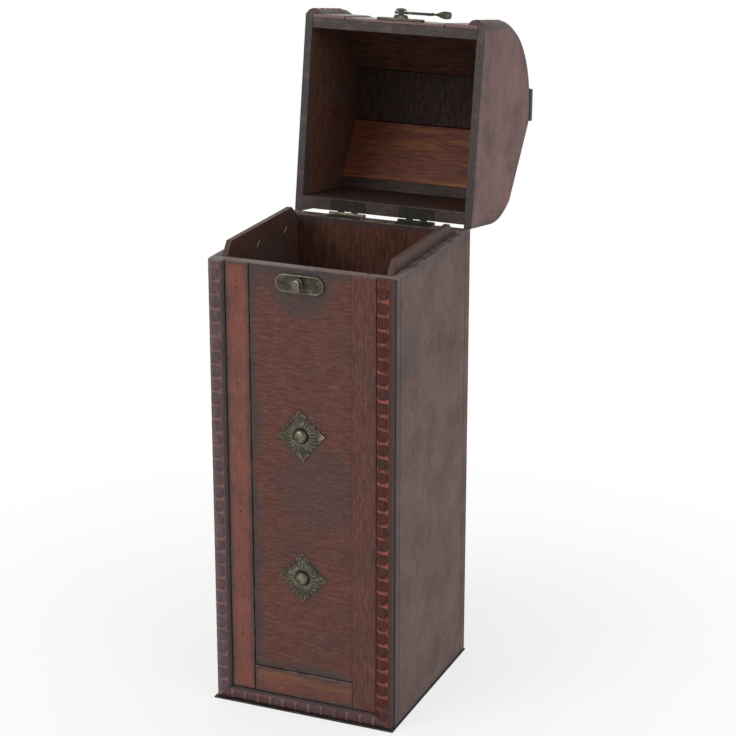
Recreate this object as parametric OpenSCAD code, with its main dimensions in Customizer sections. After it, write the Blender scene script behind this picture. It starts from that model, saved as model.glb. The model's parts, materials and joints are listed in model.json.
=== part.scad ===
// Domed wooden wine box: a tall box for one bottle, with a barrel-topped lid, applied mouldings,
// stamped rosettes, a swing hook latch, two butt hinges and a strap handle.
// X is the width, Y the depth (front is -Y), Z up. The origin is the middle of the box's underside,
// half way between the face of the front slats and the back board. The lid stands open.

/* [Box] */
// Outer width of the box
box_w = 108; // [100:1:130]
// Depth from the face of the front slats to the back board
box_d = 110; // [104:1:130]
// Height of the rim of the open body
body_h = 258; // [220:1:320]

/* [Boards] */
// Thickness of the side boards
side_t = 5; // [4:0.5:8]
// Thickness of the front board under its slats
front_t = 5.5; // [4:0.5:7]
// Thickness of the back board
back_t = 7; // [6:0.5:9]
// Thickness of the bottom board between the walls
bottom_t = 5; // [3:0.5:8]
// Thickness of the thin sheet glued under the walls
base_t = 1.2; // [0.8:0.1:2]
// How far the base sheet stands out past the boards
base_proud = 0.6; // [0:0.1:1]
// Thickness of the liners inside the side boards
liner_t = 3; // [2:0.5:4]
// How far the liners rise above the rim, to guide the lid
liner_rise = 7; // [4:0.5:9]

/* [Front trim] */
// Thickness of the stiles and the bottom rail
slat_t = 2.5; // [2:0.1:3]
// Thickness of the field between the stiles
field_t = 1.6; // [1:0.1:1.9]
// Width of the standing bead mouldings
bead_w = 9.2; // [7:0.2:10]
// Width of the bead moulding along the foot
foot_bead_w = 7.4; // [6:0.2:9]
// Height of a bead moulding over the slats
bead_rise = 3; // [2:0.2:4]
// Bare margin between a bead moulding and the side of the box
bead_margin = 0.8; // [0.5:0.1:2]
// Distance from one scoop of the moulding to the next
bead_pitch = 7.8; // [6:0.1:10]
// Depth of a scoop in the crest of the moulding
scoop_depth = 0.9; // [0.4:0.1:1.2]
// Width of a stile
stile_w = 13.4; // [10:0.1:18]
// Height of the bottom rail
rail_h = 15; // [10:0.5:20]
// Width of the open joints between slats
joint_gap = 0.5; // [0.2:0.1:1]

/* [Lid] */
// Height of the straight part of the lid's front and back
lid_straight = 32; // [28:0.5:40]
// How far the rear slat flattens the dome
flat_cut = 6; // [4:0.5:8]
// Direction of the flat rear slat, in degrees from straight back
flat_angle = 61; // [58:1:66]
// Thickness of the arched end boards
lid_end_t = 4.5; // [4:0.1:4.5]
// How far the end boards stand out behind the back wall
lid_over = 2; // [0:0.5:2.5]
// Gap left between the two rims when the lid is shut
lid_gap = 0.3; // [0.3:0.1:0.6]
// How far the lid is open as it stands, in degrees
open_angle = 99; // [0:0.5:110]

/* [Fittings] */
// Height of the lower rosette's centre
rosette_low_z = 82.4; // [60:0.2:100]
// Height of the upper rosette's centre
rosette_high_z = 165.2; // [140:0.2:190]
// Tip to tip size of a rosette
rosette_size = 28.8; // [24:0.2:32]
// Depth of the strike plate's centre below the rim
stud_drop = 8.2; // [7:0.1:12]
// Height of the hook's pivot above the lid's rim
pivot_rise = 6.4; // [6:0.1:10]
// Sideways place of the hook's pivot
pivot_x = 1.5; // [-2:0.5:2]
// Direction the hook points as it rests, in degrees above the rim line
hook_rest = 18; // [0:1:60]
// Sideways place of each hinge's middle
hinge_x = 21; // [18:0.5:30]
// Width of a hinge
hinge_w = 21; // [18:0.5:28]
// Distance from the back board to the middle of the hinge pin
hinge_out = 1.3; // [1.3:0.1:2.5]

/* [Handle] */
// Width of the strap handle
strap_w = 19.5; // [14:0.5:22]
// How far the strap arches up off the mouldings
strap_rise = 17; // [14:1:22]
// Half of the arched length of the strap
strap_span = 37; // [34:0.5:38]
// Lean of the strap towards the front of the dome, in degrees
strap_lean = 8; // [0:1:12]

/* [Hidden] */
$fn = 64;

half_w = box_w / 2;
half_d = box_d / 2;
board_y = -half_d + slat_t;          // outer face of the front board
inside_front_y = board_y + front_t;  // inner face of the front board
inside_back_y = half_d - back_t;     // inner face of the back board
inside_x = half_w - side_t;          // inner face of a side board
field_y = board_y - field_t;         // outer face of the front field
floor_z = base_t + bottom_t;         // top of the bottom board

// Front layout, outwards from the middle
bead_out_x = half_w - bead_margin;
bead_in_x = bead_out_x - bead_w;
bead_mid_x = (bead_out_x + bead_in_x) / 2;
stile_out_x = bead_in_x - joint_gap;
stile_in_x = stile_out_x - stile_w;
field_half_w = stile_in_x - joint_gap;
rail_low_z = base_t + foot_bead_w + joint_gap;
field_low_z = rail_low_z + rail_h + joint_gap;

// Half-round part of the moulding and its scoops
scoop_r = 7;
scoop_first = 5;                      // from the end of a moulding to its first scoop
scoop_off = bead_rise + scoop_r - scoop_depth;

// Lid, drawn shut with its rim plane at z = 0
dome_r = half_d;
flat_at = dome_r - flat_cut;          // distance of the flat from the dome's middle
flat_half = acos(flat_at / dome_r);   // half of the angle that the flat spans
arc_end = flat_angle + flat_half;     // where the arc meets the flat, from straight back
flat_len = 2 * dome_r * sin(flat_half);
lid_in_x = half_w - lid_end_t;
end_back = half_d + lid_over;         // rear edge of an end board
flat_low = dome_r * cos(flat_angle - flat_half);
end_mid = (end_back * end_back - dome_r * dome_r) / (2 * (end_back - flat_low));
rear_joint = 30;                      // direction of the joint between back wall and rear slat
slat_gap = 0.3;
// Inner corners of the lid's hollow, as y and height over the rim
hollow_back = [half_d - 8.5, 52];
hollow_rear = [half_d - 47.5, 71.5];
hollow_fore = [half_d - 78, 70.5];
hollow_front = [inside_front_y, 50];
hollow = [[inside_back_y, -1], hollow_back, hollow_rear, hollow_fore, hollow_front, [inside_front_y, -1]];

// Hinge axis, and the lid's rim when shut
axis_y = half_d + hinge_out;
rim_z = body_h + lid_gap;
axis_z = body_h + lid_gap / 2;
knuckle_r = 1;
pin_r = 0.5;
pin_head_r = 0.8;
pin_fit = 0.05;
leaf_t = 0.7;
leaf_reach = 6;                       // how far a leaf lies on its board
knuckles = 5;
knuckle_gap = 0.25;
knuckle_w = (hinge_w - (knuckles - 1) * knuckle_gap) / knuckles;
leaf_play = 0.35;                     // room between a leaf and the other leaf's knuckles
leaf_nail_x = [-7.8, 0, 7.8];
leaf_nail_y = half_d - 3.4;

// Latch, in distances out from the face it is fixed to
plate_l = 28;
plate_h = 10;
plate_t = 1;
plate_rim_t = 1.5;
plate_rim_w = 0.8;
plate_nail_x = 9.8;
stud_z = body_h - stud_drop;
lug_w = 3.2;                          // width of the strike lug
lug_h = 6.2;                          // height of the strike lug
lug_neck_r = 1.5;                     // the neck that the hook catches
lug_neck_up = 1.4;                    // height of the neck over the lug's middle
lug_len = 6.9;
hook_mid = 4.6;
hook_t = 1.5;                         // thickness of the flat hook
arm_w = 2.2;
claw_w = 1.7;
hook_play = 0.4;
boss_top = 3.4;
eye_r = 3.6;
rivet_r = 1.55;
rivet_fit = 0.07;
drop_x = pivot_x;
drop_z = stud_drop - lug_neck_up + lid_gap + pivot_rise;
claw_y = lug_neck_r + hook_play + arm_w / 2;
claw_x = sqrt(drop_x * drop_x + drop_z * drop_z - claw_y * claw_y);
claw_in = lug_neck_r + hook_play;

// Handle
strap_t = 1.8;
backing_t = 1.6;
strap_end_x = half_w - 0.4;
strap_bend_r = 12;                    // radius of the upward bends
strap_turn = 2 * atan(strap_rise / strap_span);
strap_crown_r = strap_span / sin(strap_turn) - strap_bend_r;
bead_top_r = dome_r + bead_rise;
tack_out = 5.6;

// ---------------------------------------------------------------- helpers

// Extrude an outline drawn in X and Z through the depth, from y to y + t
module through_y(y, t) {
  translate([0, y + t, 0]) rotate([90, 0, 0]) linear_extrude(t) children();
}

// Extrude an outline drawn in Y and Z sideways, from x to x + t
module through_x(x, t) {
  translate([x, 0, 0]) rotate([90, 0, 90]) linear_extrude(t) children();
}

// A board between two corners
module board(low, high) {
  translate(low) cube(high - low);
}

// Place a fitting drawn face up (X right, Y up, Z outwards) on the front
module on_front(x, y, z) {
  translate([x, y, z]) rotate([90, 0, 0]) children();
}

// Place a piece of the shut lid, whose rim plane is z = 0, where the open lid stands
module on_lid() {
  translate([0, axis_y, axis_z]) rotate([-open_angle, 0, 0]) translate([0, -axis_y, rim_z - axis_z]) children();
}

// A flat ring sector between two radii and two directions less than 180 degrees apart
module sector(r_in, r_out, from, to) {
  far = 3 * r_out;
  intersection() {
    difference() {
      circle(r_out);
      circle(r_in);
    }
    polygon([[0, 0], far * [cos(from), sin(from)], far * [cos((from + to) / 2), sin((from + to) / 2)],
      far * [cos(to), sin(to)]]);
  }
}

// Small round-headed nail, drawn from the face it holds: head outwards, shank inwards
module nail(head_r, head_h, shank_r, shank_l) {
  cap_r = (head_r * head_r + head_h * head_h) / (2 * head_h);
  intersection() {
    translate([0, 0, head_h - cap_r]) sphere(cap_r);
    cylinder(r = head_r, h = head_h);
  }
  translate([0, 0, -shank_l]) cylinder(r = shank_r, h = shank_l);
}

// Flush brad whose head is level with the face
module brad(r, l) {
  translate([0, 0, -l]) cylinder(r = r, h = l);
}

// Stadium outline of a latch plate
module stadium(l, h) {
  for (side = [-1, 1]) translate([side * (l - h) / 2, 0]) circle(h / 2);
  square([l - h, h], center = true);
}

// ---------------------------------------------------------------- boards of the body

module base_sheet() {
  color("#2b2220")
    board([-half_w - base_proud, board_y - slat_t - bead_rise + 0.6, 0],
      [half_w + base_proud, half_d + base_proud, base_t]);
}

module bottom_board() {
  color("#6b4633") board([-inside_x, inside_front_y, base_t], [inside_x, inside_back_y, floor_z]);
}

module front_board() {
  color("#5d3a30") difference() {
    board([-half_w, board_y, base_t], [half_w, inside_front_y, body_h]);
    rosette_nails();
    strike_nails();
    stile_pins();
    strike_stud();
  }
}

module back_board() {
  color("#5d3a30") difference() {
    board([-half_w, inside_back_y, base_t], [half_w, half_d, body_h]);
    for (side = [-1, 1])
      board([side * hinge_x - hinge_w / 2, half_d - leaf_reach, body_h - leaf_t],
        [side * hinge_x + hinge_w / 2, half_d + 1, body_h + 1]);
    hinge_body_nails();
    back_brads();
  }
}

module side_board(side) {
  low_x = side < 0 ? -half_w : inside_x;
  color("#5d3a30") difference() {
    board([low_x, inside_front_y, base_t], [low_x + side_t, inside_back_y, body_h]);
    back_brads();
  }
}

module left_side() side_board(-1);

module right_side() side_board(1);

// The liner's tongue is cut back at both ends, so that the lid swings over it
module liner(side) {
  front_y = inside_front_y + 0.5;
  back_y = inside_back_y - 4.5;
  top_z = body_h + liner_rise;
  low_x = side < 0 ? -inside_x : inside_x - liner_t;
  color("#4a2f27") difference() {
    through_x(low_x, liner_t)
      polygon([[front_y, floor_z], [back_y, floor_z], [back_y, body_h], [back_y - 8, top_z],
        [front_y + 5.5, top_z], [front_y, body_h]]);
    liner_staples();
  }
}

module left_liner() liner(-1);

module right_liner() liner(1);

// Staples that hold the liners, seen on their inner faces
module liner_staples() {
  wire_r = 0.35;
  crown = 4.6;
  color("#a9a49b")
    for (side = [-1, 1], at = [[-9, 255], [26, 254], [-9, 60], [26, 60]])
      translate([side * (inside_x - liner_t), at[0], at[1]]) rotate([side * 50, 0, 0]) {
        translate([-side * wire_r * 0.6, 0, -crown / 2]) cylinder(r = wire_r, h = crown);
        for (end = [-1, 1])
          translate([-side * wire_r * 0.6, 0, end * (crown / 2 - wire_r)])
            rotate([0, side * 90, 0]) cylinder(r = wire_r, h = 2.4);
      }
}

module back_brads() {
  brad_l = 14;
  color("#3a3634")
    for (side = [-1, 1], z = [16, 72, 128, 184, 240])
      translate([side * (half_w - side_t / 2), half_d, z]) rotate([-90, 0, 0]) brad(0.7, brad_l);
}

// ---------------------------------------------------------------- front trim of the body

module stile(side) {
  low_x = side < 0 ? -stile_out_x : stile_in_x;
  color(side < 0 ? "#8a4434" : "#6b3a30") difference() {
    board([low_x, -half_d, rail_low_z], [low_x + stile_w, board_y, body_h]);
    stile_pins();
  }
}

module left_stile() stile(-1);

module right_stile() stile(1);

module bottom_rail() {
  color("#844a34") board([-field_half_w, -half_d, rail_low_z], [field_half_w, board_y, rail_low_z + rail_h]);
}

module front_field() {
  color("#6f3d31") difference() {
    board([-field_half_w, field_y, field_low_z], [field_half_w, board_y, body_h]);
    rosette_nails();
    strike_nails();
    strike_stud();
  }
}

module stile_pins() {
  pin_x = (stile_in_x + stile_out_x) / 2;
  color("#2c2624")
    for (side = [-1, 1], z = [42, 116, 190, 244])
      on_front(side * pin_x, -half_d, z) brad(0.6, slat_t + 3);
}

// Half-round part of a moulding w wide: across in X, outwards in Y, standing on y = 0
module bead_round(w) {
  r = (w * w / 4 + bead_rise * bead_rise) / (2 * bead_rise);
  intersection() {
    translate([0, bead_rise - r]) circle(r);
    translate([-w / 2, 0]) square([w, bead_rise]);
  }
}

module bead_section(w) {
  bead_round(w);
  translate([-w / 2, -slat_t]) square([w, slat_t]);
}

// Shallow scoops across a straight moulding that runs up along Z and faces -Y
module scoops(length) {
  count = floor((length - 2 * scoop_first) / bead_pitch) + 1;
  for (i = [0:count - 1])
    translate([-bead_w, -scoop_off, scoop_first + i * bead_pitch])
      rotate([0, 90, 0]) cylinder(r = scoop_r, h = 2 * bead_w, $fn = 96);
}

// A straight moulding w wide that runs up along Z from z = 0 and faces -Y
module straight_bead(w, length) {
  difference() {
    linear_extrude(length) mirror([0, 1]) bead_section(w);
    scoops(length);
  }
}

// Everything on the outer side of the mitre at the foot of a standing moulding
module mitre_mask(side) {
  far = body_h + 1;
  through_y(-half_d - 2 * bead_rise, 4 * bead_rise)
    polygon([[side * bead_out_x, base_t], [side * (bead_out_x - 2 * bead_w), base_t + 2 * foot_bead_w],
      [side * (bead_out_x - 2 * bead_w), far], [side * (bead_out_x + bead_w), far],
      [side * (bead_out_x + bead_w), base_t]]);
}

module standing_bead(side) {
  color("#7a3228") intersection() {
    translate([side * bead_mid_x, -half_d, base_t]) straight_bead(bead_w, body_h - base_t);
    mitre_mask(side);
  }
}

module left_bead() standing_bead(-1);

module right_bead() standing_bead(1);

module bottom_bead() {
  color("#5e3430") difference() {
    translate([-bead_out_x, -half_d, base_t + foot_bead_w / 2])
      rotate([0, 90, 0]) straight_bead(foot_bead_w, 2 * bead_out_x);
    for (side = [-1, 1]) mitre_mask(side);
  }
}

// ---------------------------------------------------------------- rosettes and strike plate

// Four points with scalloped sides, worked out in polar form
module rosette_outline() {
  steps = 120;
  lobes = 20;
  depth = 0.045;
  tip = rosette_size / 2;
  polygon([for (i = [0:steps - 1])
    let (a = i * 360 / steps, straight = tip / (abs(cos(a)) + abs(sin(a))),
      r = straight * (1 + depth * (cos(lobes * a) - 1) * abs(sin(2 * a))))
    [r * cos(a), r * sin(a)]]);
}

module rosette_plate() {
  plate = 0.8;
  ring_t = 0.7;
  linear_extrude(plate) rosette_outline();
  translate([0, 0, plate]) cylinder(r1 = 8.4, r2 = 5.4, h = ring_t);
}

module rosette(z) {
  color("#6f6a52") difference() {
    on_front(0, field_y, z) rosette_plate();
    rosette_nails();
  }
}

module upper_rosette() rosette(rosette_high_z);

module lower_rosette() rosette(rosette_low_z);

module rosette_nails() {
  color("#8a8467")
    for (z = [rosette_low_z, rosette_high_z])
      on_front(0, field_y - 1.5, z) nail(4, 2.6, 0.9, 6.5);
}

// Plate with a raised rim, drawn face up
module rimmed_plate() {
  difference() {
    linear_extrude(plate_rim_t) stadium(plate_l, plate_h);
    translate([0, 0, plate_t])
      linear_extrude(plate_rim_t) stadium(plate_l - 2 * plate_rim_w, plate_h - 2 * plate_rim_w);
  }
}

module strike_plate() {
  color("#4e4d40") difference() {
    on_front(0, field_y, stud_z) rimmed_plate();
    strike_nails();
    strike_stud();
  }
}

// Upright outline of the strike lug, with round ends
module lug_outline() {
  rotate(90) stadium(lug_h, lug_w);
}

module strike_stud() {
  neck_from = 3.3;
  neck_to = 5.9;
  tail = 3;
  color("#9a8760") on_front(0, field_y, stud_z) {
    translate([0, 0, -tail]) cylinder(r = 1.2, h = tail + 0.2);
    translate([0, 0, 0.1]) linear_extrude(neck_from - 0.1) lug_outline();
    translate([0, lug_neck_up, neck_from - 0.1]) cylinder(r = lug_neck_r, h = neck_to - neck_from + 0.2);
    translate([0, 0, neck_to]) linear_extrude(lug_len - neck_to) lug_outline();
  }
}

module strike_nails() {
  color("#3b3931")
    for (side = [-1, 1])
      on_front(side * plate_nail_x, field_y - plate_t, stud_z) nail(1.3, 0.5, 0.6, 5);
}

// ---------------------------------------------------------------- lid boards

// Side view of the lid, inset by t: straight walls, a round dome and a flattened rear
module lid_outline(t) {
  intersection() {
    union() {
      translate([-half_d + t, 0]) square([box_d - 2 * t, lid_straight]);
      translate([0, lid_straight]) circle(dome_r - t, $fn = 128);
    }
    translate([-box_d, 0]) square([2 * box_d, 2 * box_d]);
    translate([0, lid_straight]) rotate(flat_angle)
      translate([flat_at - t - 4 * box_d, -2 * box_d]) square([4 * box_d, 4 * box_d]);
  }
}

// Side view of an end board, whose rear edge swells out behind the back wall up to the flat
module end_outline() {
  intersection() {
    union() {
      translate([-half_d, 0]) square([half_d + end_back, lid_straight]);
      translate([0, lid_straight]) circle(dome_r, $fn = 128);
      translate([end_mid, lid_straight]) circle(end_back - end_mid, $fn = 128);
    }
    translate([-box_d, 0]) square([2 * box_d, 2 * box_d]);
    translate([0, lid_straight]) rotate(flat_angle)
      translate([flat_at - 4 * box_d, -2 * box_d]) square([4 * box_d, 4 * box_d]);
  }
}

// Wedge seen from the dome's middle, between two directions from straight back
module wedge(from, to) {
  far = 3 * box_d;
  mid = (from + to) / 2;
  translate([0, lid_straight])
    polygon([[0, 0], far * [cos(from), sin(from)], far * [cos(mid), sin(mid)], far * [cos(to), sin(to)]]);
}

// Direction of a corner of the hollow as seen from the dome's middle
function corner_dir(p) = atan2(p[1] - lid_straight, p[0]);

// One long board of the lid between two joints, inset by t under its skin
module lid_board(t, from, to) {
  trim = slat_gap / 2;
  difference() {
    through_x(-lid_in_x, 2 * lid_in_x) intersection() {
      difference() {
        lid_outline(t);
        polygon(hollow);
      }
      wedge(from, to);
    }
    for (joint = [from, to])
      translate([0, 0, lid_straight]) rotate([joint, 0, 0])
        translate([-half_w, -box_d, -trim]) cube([box_w, 2 * box_d, 2 * trim]);
  }
}

front_joint = corner_dir(hollow_front);
fore_joint = corner_dir(hollow_fore);
top_joint = corner_dir(hollow_rear);

module end_board(side) {
  low_x = side < 0 ? -half_w : lid_in_x;
  color("#71443c") on_lid() difference() {
    through_x(low_x, lid_end_t) end_outline();
    lid_brads_shut();
  }
}

module lid_left_end() end_board(-1);

module lid_right_end() end_board(1);

// The front and back walls run down to the rim, below the dome's middle
module lid_wall(t, from, to, low_from, low_to) {
  trim = slat_gap / 2;
  joint = from > 90 ? from : to;
  difference() {
    through_x(-lid_in_x, 2 * lid_in_x) difference() {
      intersection() {
        lid_outline(t);
        union() {
          wedge(from, to);
          translate([low_from, 0]) square([low_to - low_from, lid_straight]);
        }
      }
      polygon(hollow);
    }
    translate([0, 0, lid_straight]) rotate([joint, 0, 0])
      translate([-half_w, 0, -trim]) cube([box_w, 2 * box_d, 2 * trim]);
  }
}

module lid_front_wall() {
  color("#6a4038") on_lid() difference() {
    lid_wall(slat_t, front_joint, 180, -half_d, 0);
    latch_fixings_shut();
  }
}

module lid_back_wall() {
  color("#3d2c27") on_lid() difference() {
    lid_wall(0, 0, rear_joint, 0, half_d);
    for (side = [-1, 1])
      board([side * hinge_x - hinge_w / 2, half_d - leaf_reach, -1],
        [side * hinge_x + hinge_w / 2, half_d + 1, leaf_t]);
    lid_leaf_nails_shut();
  }
}

module lid_front_slat() {
  color("#4a302b") on_lid() lid_board(slat_t, fore_joint, front_joint);
}

module lid_middle_slat() {
  color("#35302d") on_lid() lid_board(slat_t, top_joint, fore_joint);
}

module lid_rear_slat() {
  color("#7a4a33") on_lid() lid_board(slat_t, rear_joint, top_joint);
}

// Thin skin that runs from the front rim over the dome to the back wall
module lid_skin(face, x, w) {
  through_x(x, w) difference() {
    lid_outline(face);
    lid_outline(slat_t);
    wedge(-60, rear_joint);
    translate([0, -1]) square([box_d, lid_straight + 2]);
    translate([-half_d + slat_t, -1]) square([box_d, 3]);
  }
}

// The strips run under the mouldings, out to the end boards
module lid_strip(side) {
  low_x = side < 0 ? -lid_in_x : stile_in_x;
  color("#7c4438") on_lid() lid_skin(0, low_x, lid_in_x - stile_in_x);
}

module lid_left_strip() lid_strip(-1);

module lid_right_strip() lid_strip(1);

module lid_field() {
  color("#6a3d35") on_lid() difference() {
    lid_skin(slat_t - field_t, -field_half_w, 2 * field_half_w);
    latch_fixings_shut();
  }
}

module lid_brads_shut() {
  for (side = [-1, 1], at = [[-48.5, 10], [-48.5, 34], [-34, 66], [-9, 78], [24, 68], [50, 12], [50, 34]])
    translate([side * half_w, at[0], at[1]]) rotate([0, side * 90, 0]) brad(0.7, lid_end_t);
}

module lid_end_brads() {
  color("#2c2624") on_lid() lid_brads_shut();
}

// ---------------------------------------------------------------- lid mouldings

// One scoop over the outline's point p, where outwards is direction a
module scoop_cut(p, a) {
  translate([-box_w, p[0] + scoop_off * cos(a), p[1] + scoop_off * sin(a)])
    rotate([0, 90, 0]) cylinder(r = scoop_r, h = 2 * box_w, $fn = 96);
}

// The moulding on the lid's front wall
module front_bead(side) {
  count = floor((lid_straight - scoop_first) / bead_pitch) + 1;
  color("#7a3a32") on_lid() difference() {
    translate([side * bead_mid_x, -half_d, 0]) linear_extrude(lid_straight) mirror([0, 1]) bead_round(bead_w);
    for (i = [0:count - 1]) scoop_cut([-half_d, scoop_first + i * bead_pitch], 180);
  }
}

// The round of a moulding in eight flats
module bead_flats(w) {
  r = (w * w / 4 + bead_rise * bead_rise) / (2 * bead_rise);
  step = asin(w / (2 * r)) / 4;
  polygon([for (i = [-4:4]) [r * sin(i * step), bead_rise - r + r * cos(i * step)]]);
}

// The moulding bent round the dome, from the front wall to the flat, left plain
module dome_bead(side) {
  color("#7a3a32") on_lid()
    translate([side * bead_mid_x, 0, lid_straight]) rotate([0, 90, 0]) rotate([0, 0, 90 + arc_end])
      rotate_extrude(angle = 180 - arc_end, $fn = 128)
        translate([dome_r, 0]) rotate(-90) bead_flats(bead_w);
}

// The moulding on the flat at the rear, which butts against the end of the bent one
module rear_bead(side) {
  count = floor(flat_len / bead_pitch);
  color("#7a3a32") on_lid() difference() {
    translate([side * bead_mid_x, 0, lid_straight]) rotate([flat_angle, 0, 0])
      translate([0, flat_at, -flat_len / 2]) linear_extrude(flat_len + bead_rise) bead_round(bead_w);
    for (i = [0:count - 1])
      let (run = flat_len / 2 - (i + 0.5) * bead_pitch)
        scoop_cut([flat_at * cos(flat_angle) - run * sin(flat_angle),
          lid_straight + flat_at * sin(flat_angle) + run * cos(flat_angle)], flat_angle);
    through_x(-box_w, 2 * box_w) wedge(arc_end, arc_end + 60);
  }
}

module lid_left_bead_front() front_bead(-1);

module lid_right_bead_front() front_bead(1);

module lid_left_bead_dome() dome_bead(-1);

module lid_right_bead_dome() dome_bead(1);

module lid_left_bead_rear() rear_bead(-1);

module lid_right_bead_rear() rear_bead(1);

// ---------------------------------------------------------------- handle

// Half of the strap's side view, d out from its foot, from the middle to the end: crown, bend, flat
function strap_line(d) = concat(
  [for (a = [0:3.5:strap_turn - 1])
    [(strap_crown_r + d) * sin(a), strap_rise - strap_crown_r + (strap_crown_r + d) * cos(a)]],
  [for (a = [strap_turn:-6:0.5])
    [strap_span - (strap_bend_r - d) * sin(a), strap_bend_r - (strap_bend_r - d) * cos(a)]],
  [[strap_span, d], [strap_end_x, d]]);

// The strap's side view above the mouldings, from low to high in its own thickness
module strap_band(low, high) {
  top = strap_line(high);
  foot = strap_line(low);
  n = len(top);
  polygon(concat(
    [for (i = [n - 1:-1:1]) [-top[i][0], top[i][1]]], top,
    [for (i = [n - 1:-1:0]) foot[i]], [for (i = [1:n - 1]) [-foot[i][0], foot[i][1]]]));
}

// Place a piece of the handle, drawn over the crown of the dome, on the open lid
module on_dome() {
  on_lid() translate([0, 0, lid_straight]) rotate([strap_lean, 0, 0]) children();
}

module strap_layer(low, high) {
  sag = bead_top_r - sqrt(bead_top_r * bead_top_r - strap_w * strap_w / 4);
  on_dome() difference() {
    translate([0, 0, bead_top_r]) through_y(-strap_w / 2, strap_w) strap_band(low, high);
    tacks_flat();
    if (low <= 0) translate([-half_w - 1, 0, 0]) rotate([0, 90, 0]) cylinder(r = bead_top_r - sag, h = 1);
  }
}

module handle_backing() {
  color("#4b4f57") strap_layer(0, backing_t);
}

module handle_strap() {
  color("#2e2d2f") strap_layer(backing_t, backing_t + strap_t);
}

module tacks_flat() {
  for (side = [-1, 1], end = [-1, 1])
    translate([side * bead_mid_x, end * tack_out, bead_top_r + backing_t + strap_t]) nail(2, 1, 0.7, 3.2);
}

module handle_tacks() {
  color("#8a8467") on_dome() tacks_flat();
}

// ---------------------------------------------------------------- latch on the lid

module latch_nails_shut() {
  for (side = [-1, 1])
    on_front(pivot_x + side * plate_nail_x, field_y - plate_t, pivot_rise) nail(1.3, 0.5, 0.6, 5);
}

module latch_rivet_shut() {
  head_r = 2.7;
  head_h = 1.2;
  head_at = hook_mid + hook_t / 2 + 0.35;
  tail = 4;
  on_front(pivot_x, field_y, pivot_rise) {
    translate([0, 0, head_at]) nail(head_r, head_h, rivet_r, head_at + tail);
  }
}

module latch_fixings_shut() {
  latch_nails_shut();
  latch_rivet_shut();
}

module latch_plate() {
  color("#55543f") on_lid() difference() {
    on_front(pivot_x, field_y, pivot_rise) rimmed_plate();
    latch_fixings_shut();
  }
}

module latch_boss() {
  color("#5d5b45") on_lid() difference() {
    on_front(pivot_x, field_y, pivot_rise)
      translate([0, 0, plate_t]) cylinder(r1 = 4.1, r2 = 3.2, h = boss_top - plate_t);
    latch_fixings_shut();
  }
}

module latch_rivet() {
  color("#6d6a50") on_lid() latch_rivet_shut();
}

module latch_nails() {
  color("#3b3931") on_lid() latch_nails_shut();
}

// Outline of the flat hook along X from its pivot, with its claw on the -Y side
module hook_outline() {
  neck_x = claw_x + claw_in + claw_w;
  jaw_l = 2.6;
  difference() {
    union() {
      circle(eye_r);
      translate([0, -arm_w / 2]) square([neck_x + 1, arm_w]);
      translate([claw_x, -claw_y]) {
        sector(claw_in, claw_in + claw_w, 0, 80);
        translate([claw_in, -jaw_l]) square([claw_w, jaw_l]);
        translate([claw_in + claw_w / 2, -jaw_l]) circle(claw_w / 2);
      }
    }
    circle(rivet_r + rivet_fit);
  }
}

// The hook with its finger tab, which stands across the plate like a small leaf
module hook_flat() {
  tab_l = 12;
  tab_h = 3.6;
  tab_t = 2.2;
  tab_x = claw_x + claw_in + claw_w + tab_l / 2 - 0.6;
  tab_r = (tab_l * tab_l + tab_h * tab_h) / (4 * tab_h);
  translate([0, 0, -hook_t / 2]) linear_extrude(hook_t) hook_outline();
  translate([tab_x, tab_t / 2, 0.3]) rotate([90, 0, 0]) linear_extrude(tab_t) intersection() {
    translate([0, tab_h / 2 - tab_r]) circle(tab_r, $fn = 128);
    translate([0, tab_r - tab_h / 2]) circle(tab_r, $fn = 128);
  }
}

module latch_hook() {
  color("#6b674c") on_lid() on_front(pivot_x, field_y, pivot_rise)
    translate([0, 0, hook_mid]) rotate([0, 0, hook_rest]) hook_flat();
}

// ---------------------------------------------------------------- hinges

function knuckle_x(i) = -hinge_w / 2 + i * (knuckle_w + knuckle_gap);

// One leaf of a shut hinge. First is 0 for the body's leaf, whose knuckles are the outer ones and
// the middle one, and 1 for the lid's leaf. Low and high are the leaf's faces in Z.
module leaf(first, low, high) {
  difference() {
    union() {
      board([-hinge_w / 2, half_d - leaf_reach, low], [hinge_w / 2, half_d + hinge_out - knuckle_r - leaf_play, high]);
      for (i = [first:2:knuckles - 1]) {
        board([knuckle_x(i), half_d - 1, low], [knuckle_x(i) + knuckle_w, axis_y, high]);
        translate([knuckle_x(i), axis_y, axis_z]) rotate([0, 90, 0]) cylinder(r = knuckle_r, h = knuckle_w);
      }
    }
    translate([-hinge_w, axis_y, axis_z]) rotate([0, 90, 0]) cylinder(r = pin_r + pin_fit, h = 2 * hinge_w);
  }
}

// Countersunk nail, head level with z = 0 and point down
module leaf_nail() {
  translate([0, 0, -5]) cylinder(r = 0.5, h = 5);
  translate([0, 0, -0.5]) cylinder(r1 = 0.5, r2 = 0.95, h = 0.5);
}

module hinge_body_nails() {
  color("#8d8063")
    for (side = [-1, 1], x = leaf_nail_x)
      translate([side * hinge_x + x, leaf_nail_y, body_h]) leaf_nail();
}

module lid_leaf_nails_shut() {
  for (side = [-1, 1], x = leaf_nail_x)
    translate([side * hinge_x + x, leaf_nail_y, 0]) mirror([0, 0, 1]) leaf_nail();
}

module hinge_lid_nails() {
  color("#8d8063") on_lid() lid_leaf_nails_shut();
}

module body_leaf(side) {
  color("#7d7660") difference() {
    translate([side * hinge_x, 0, 0]) leaf(0, body_h - leaf_t, body_h);
    hinge_body_nails();
  }
}

module lid_leaf(side) {
  color("#7d7660") on_lid() difference() {
    translate([side * hinge_x, 0, -rim_z]) leaf(1, rim_z, rim_z + leaf_t);
    lid_leaf_nails_shut();
  }
}

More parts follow.
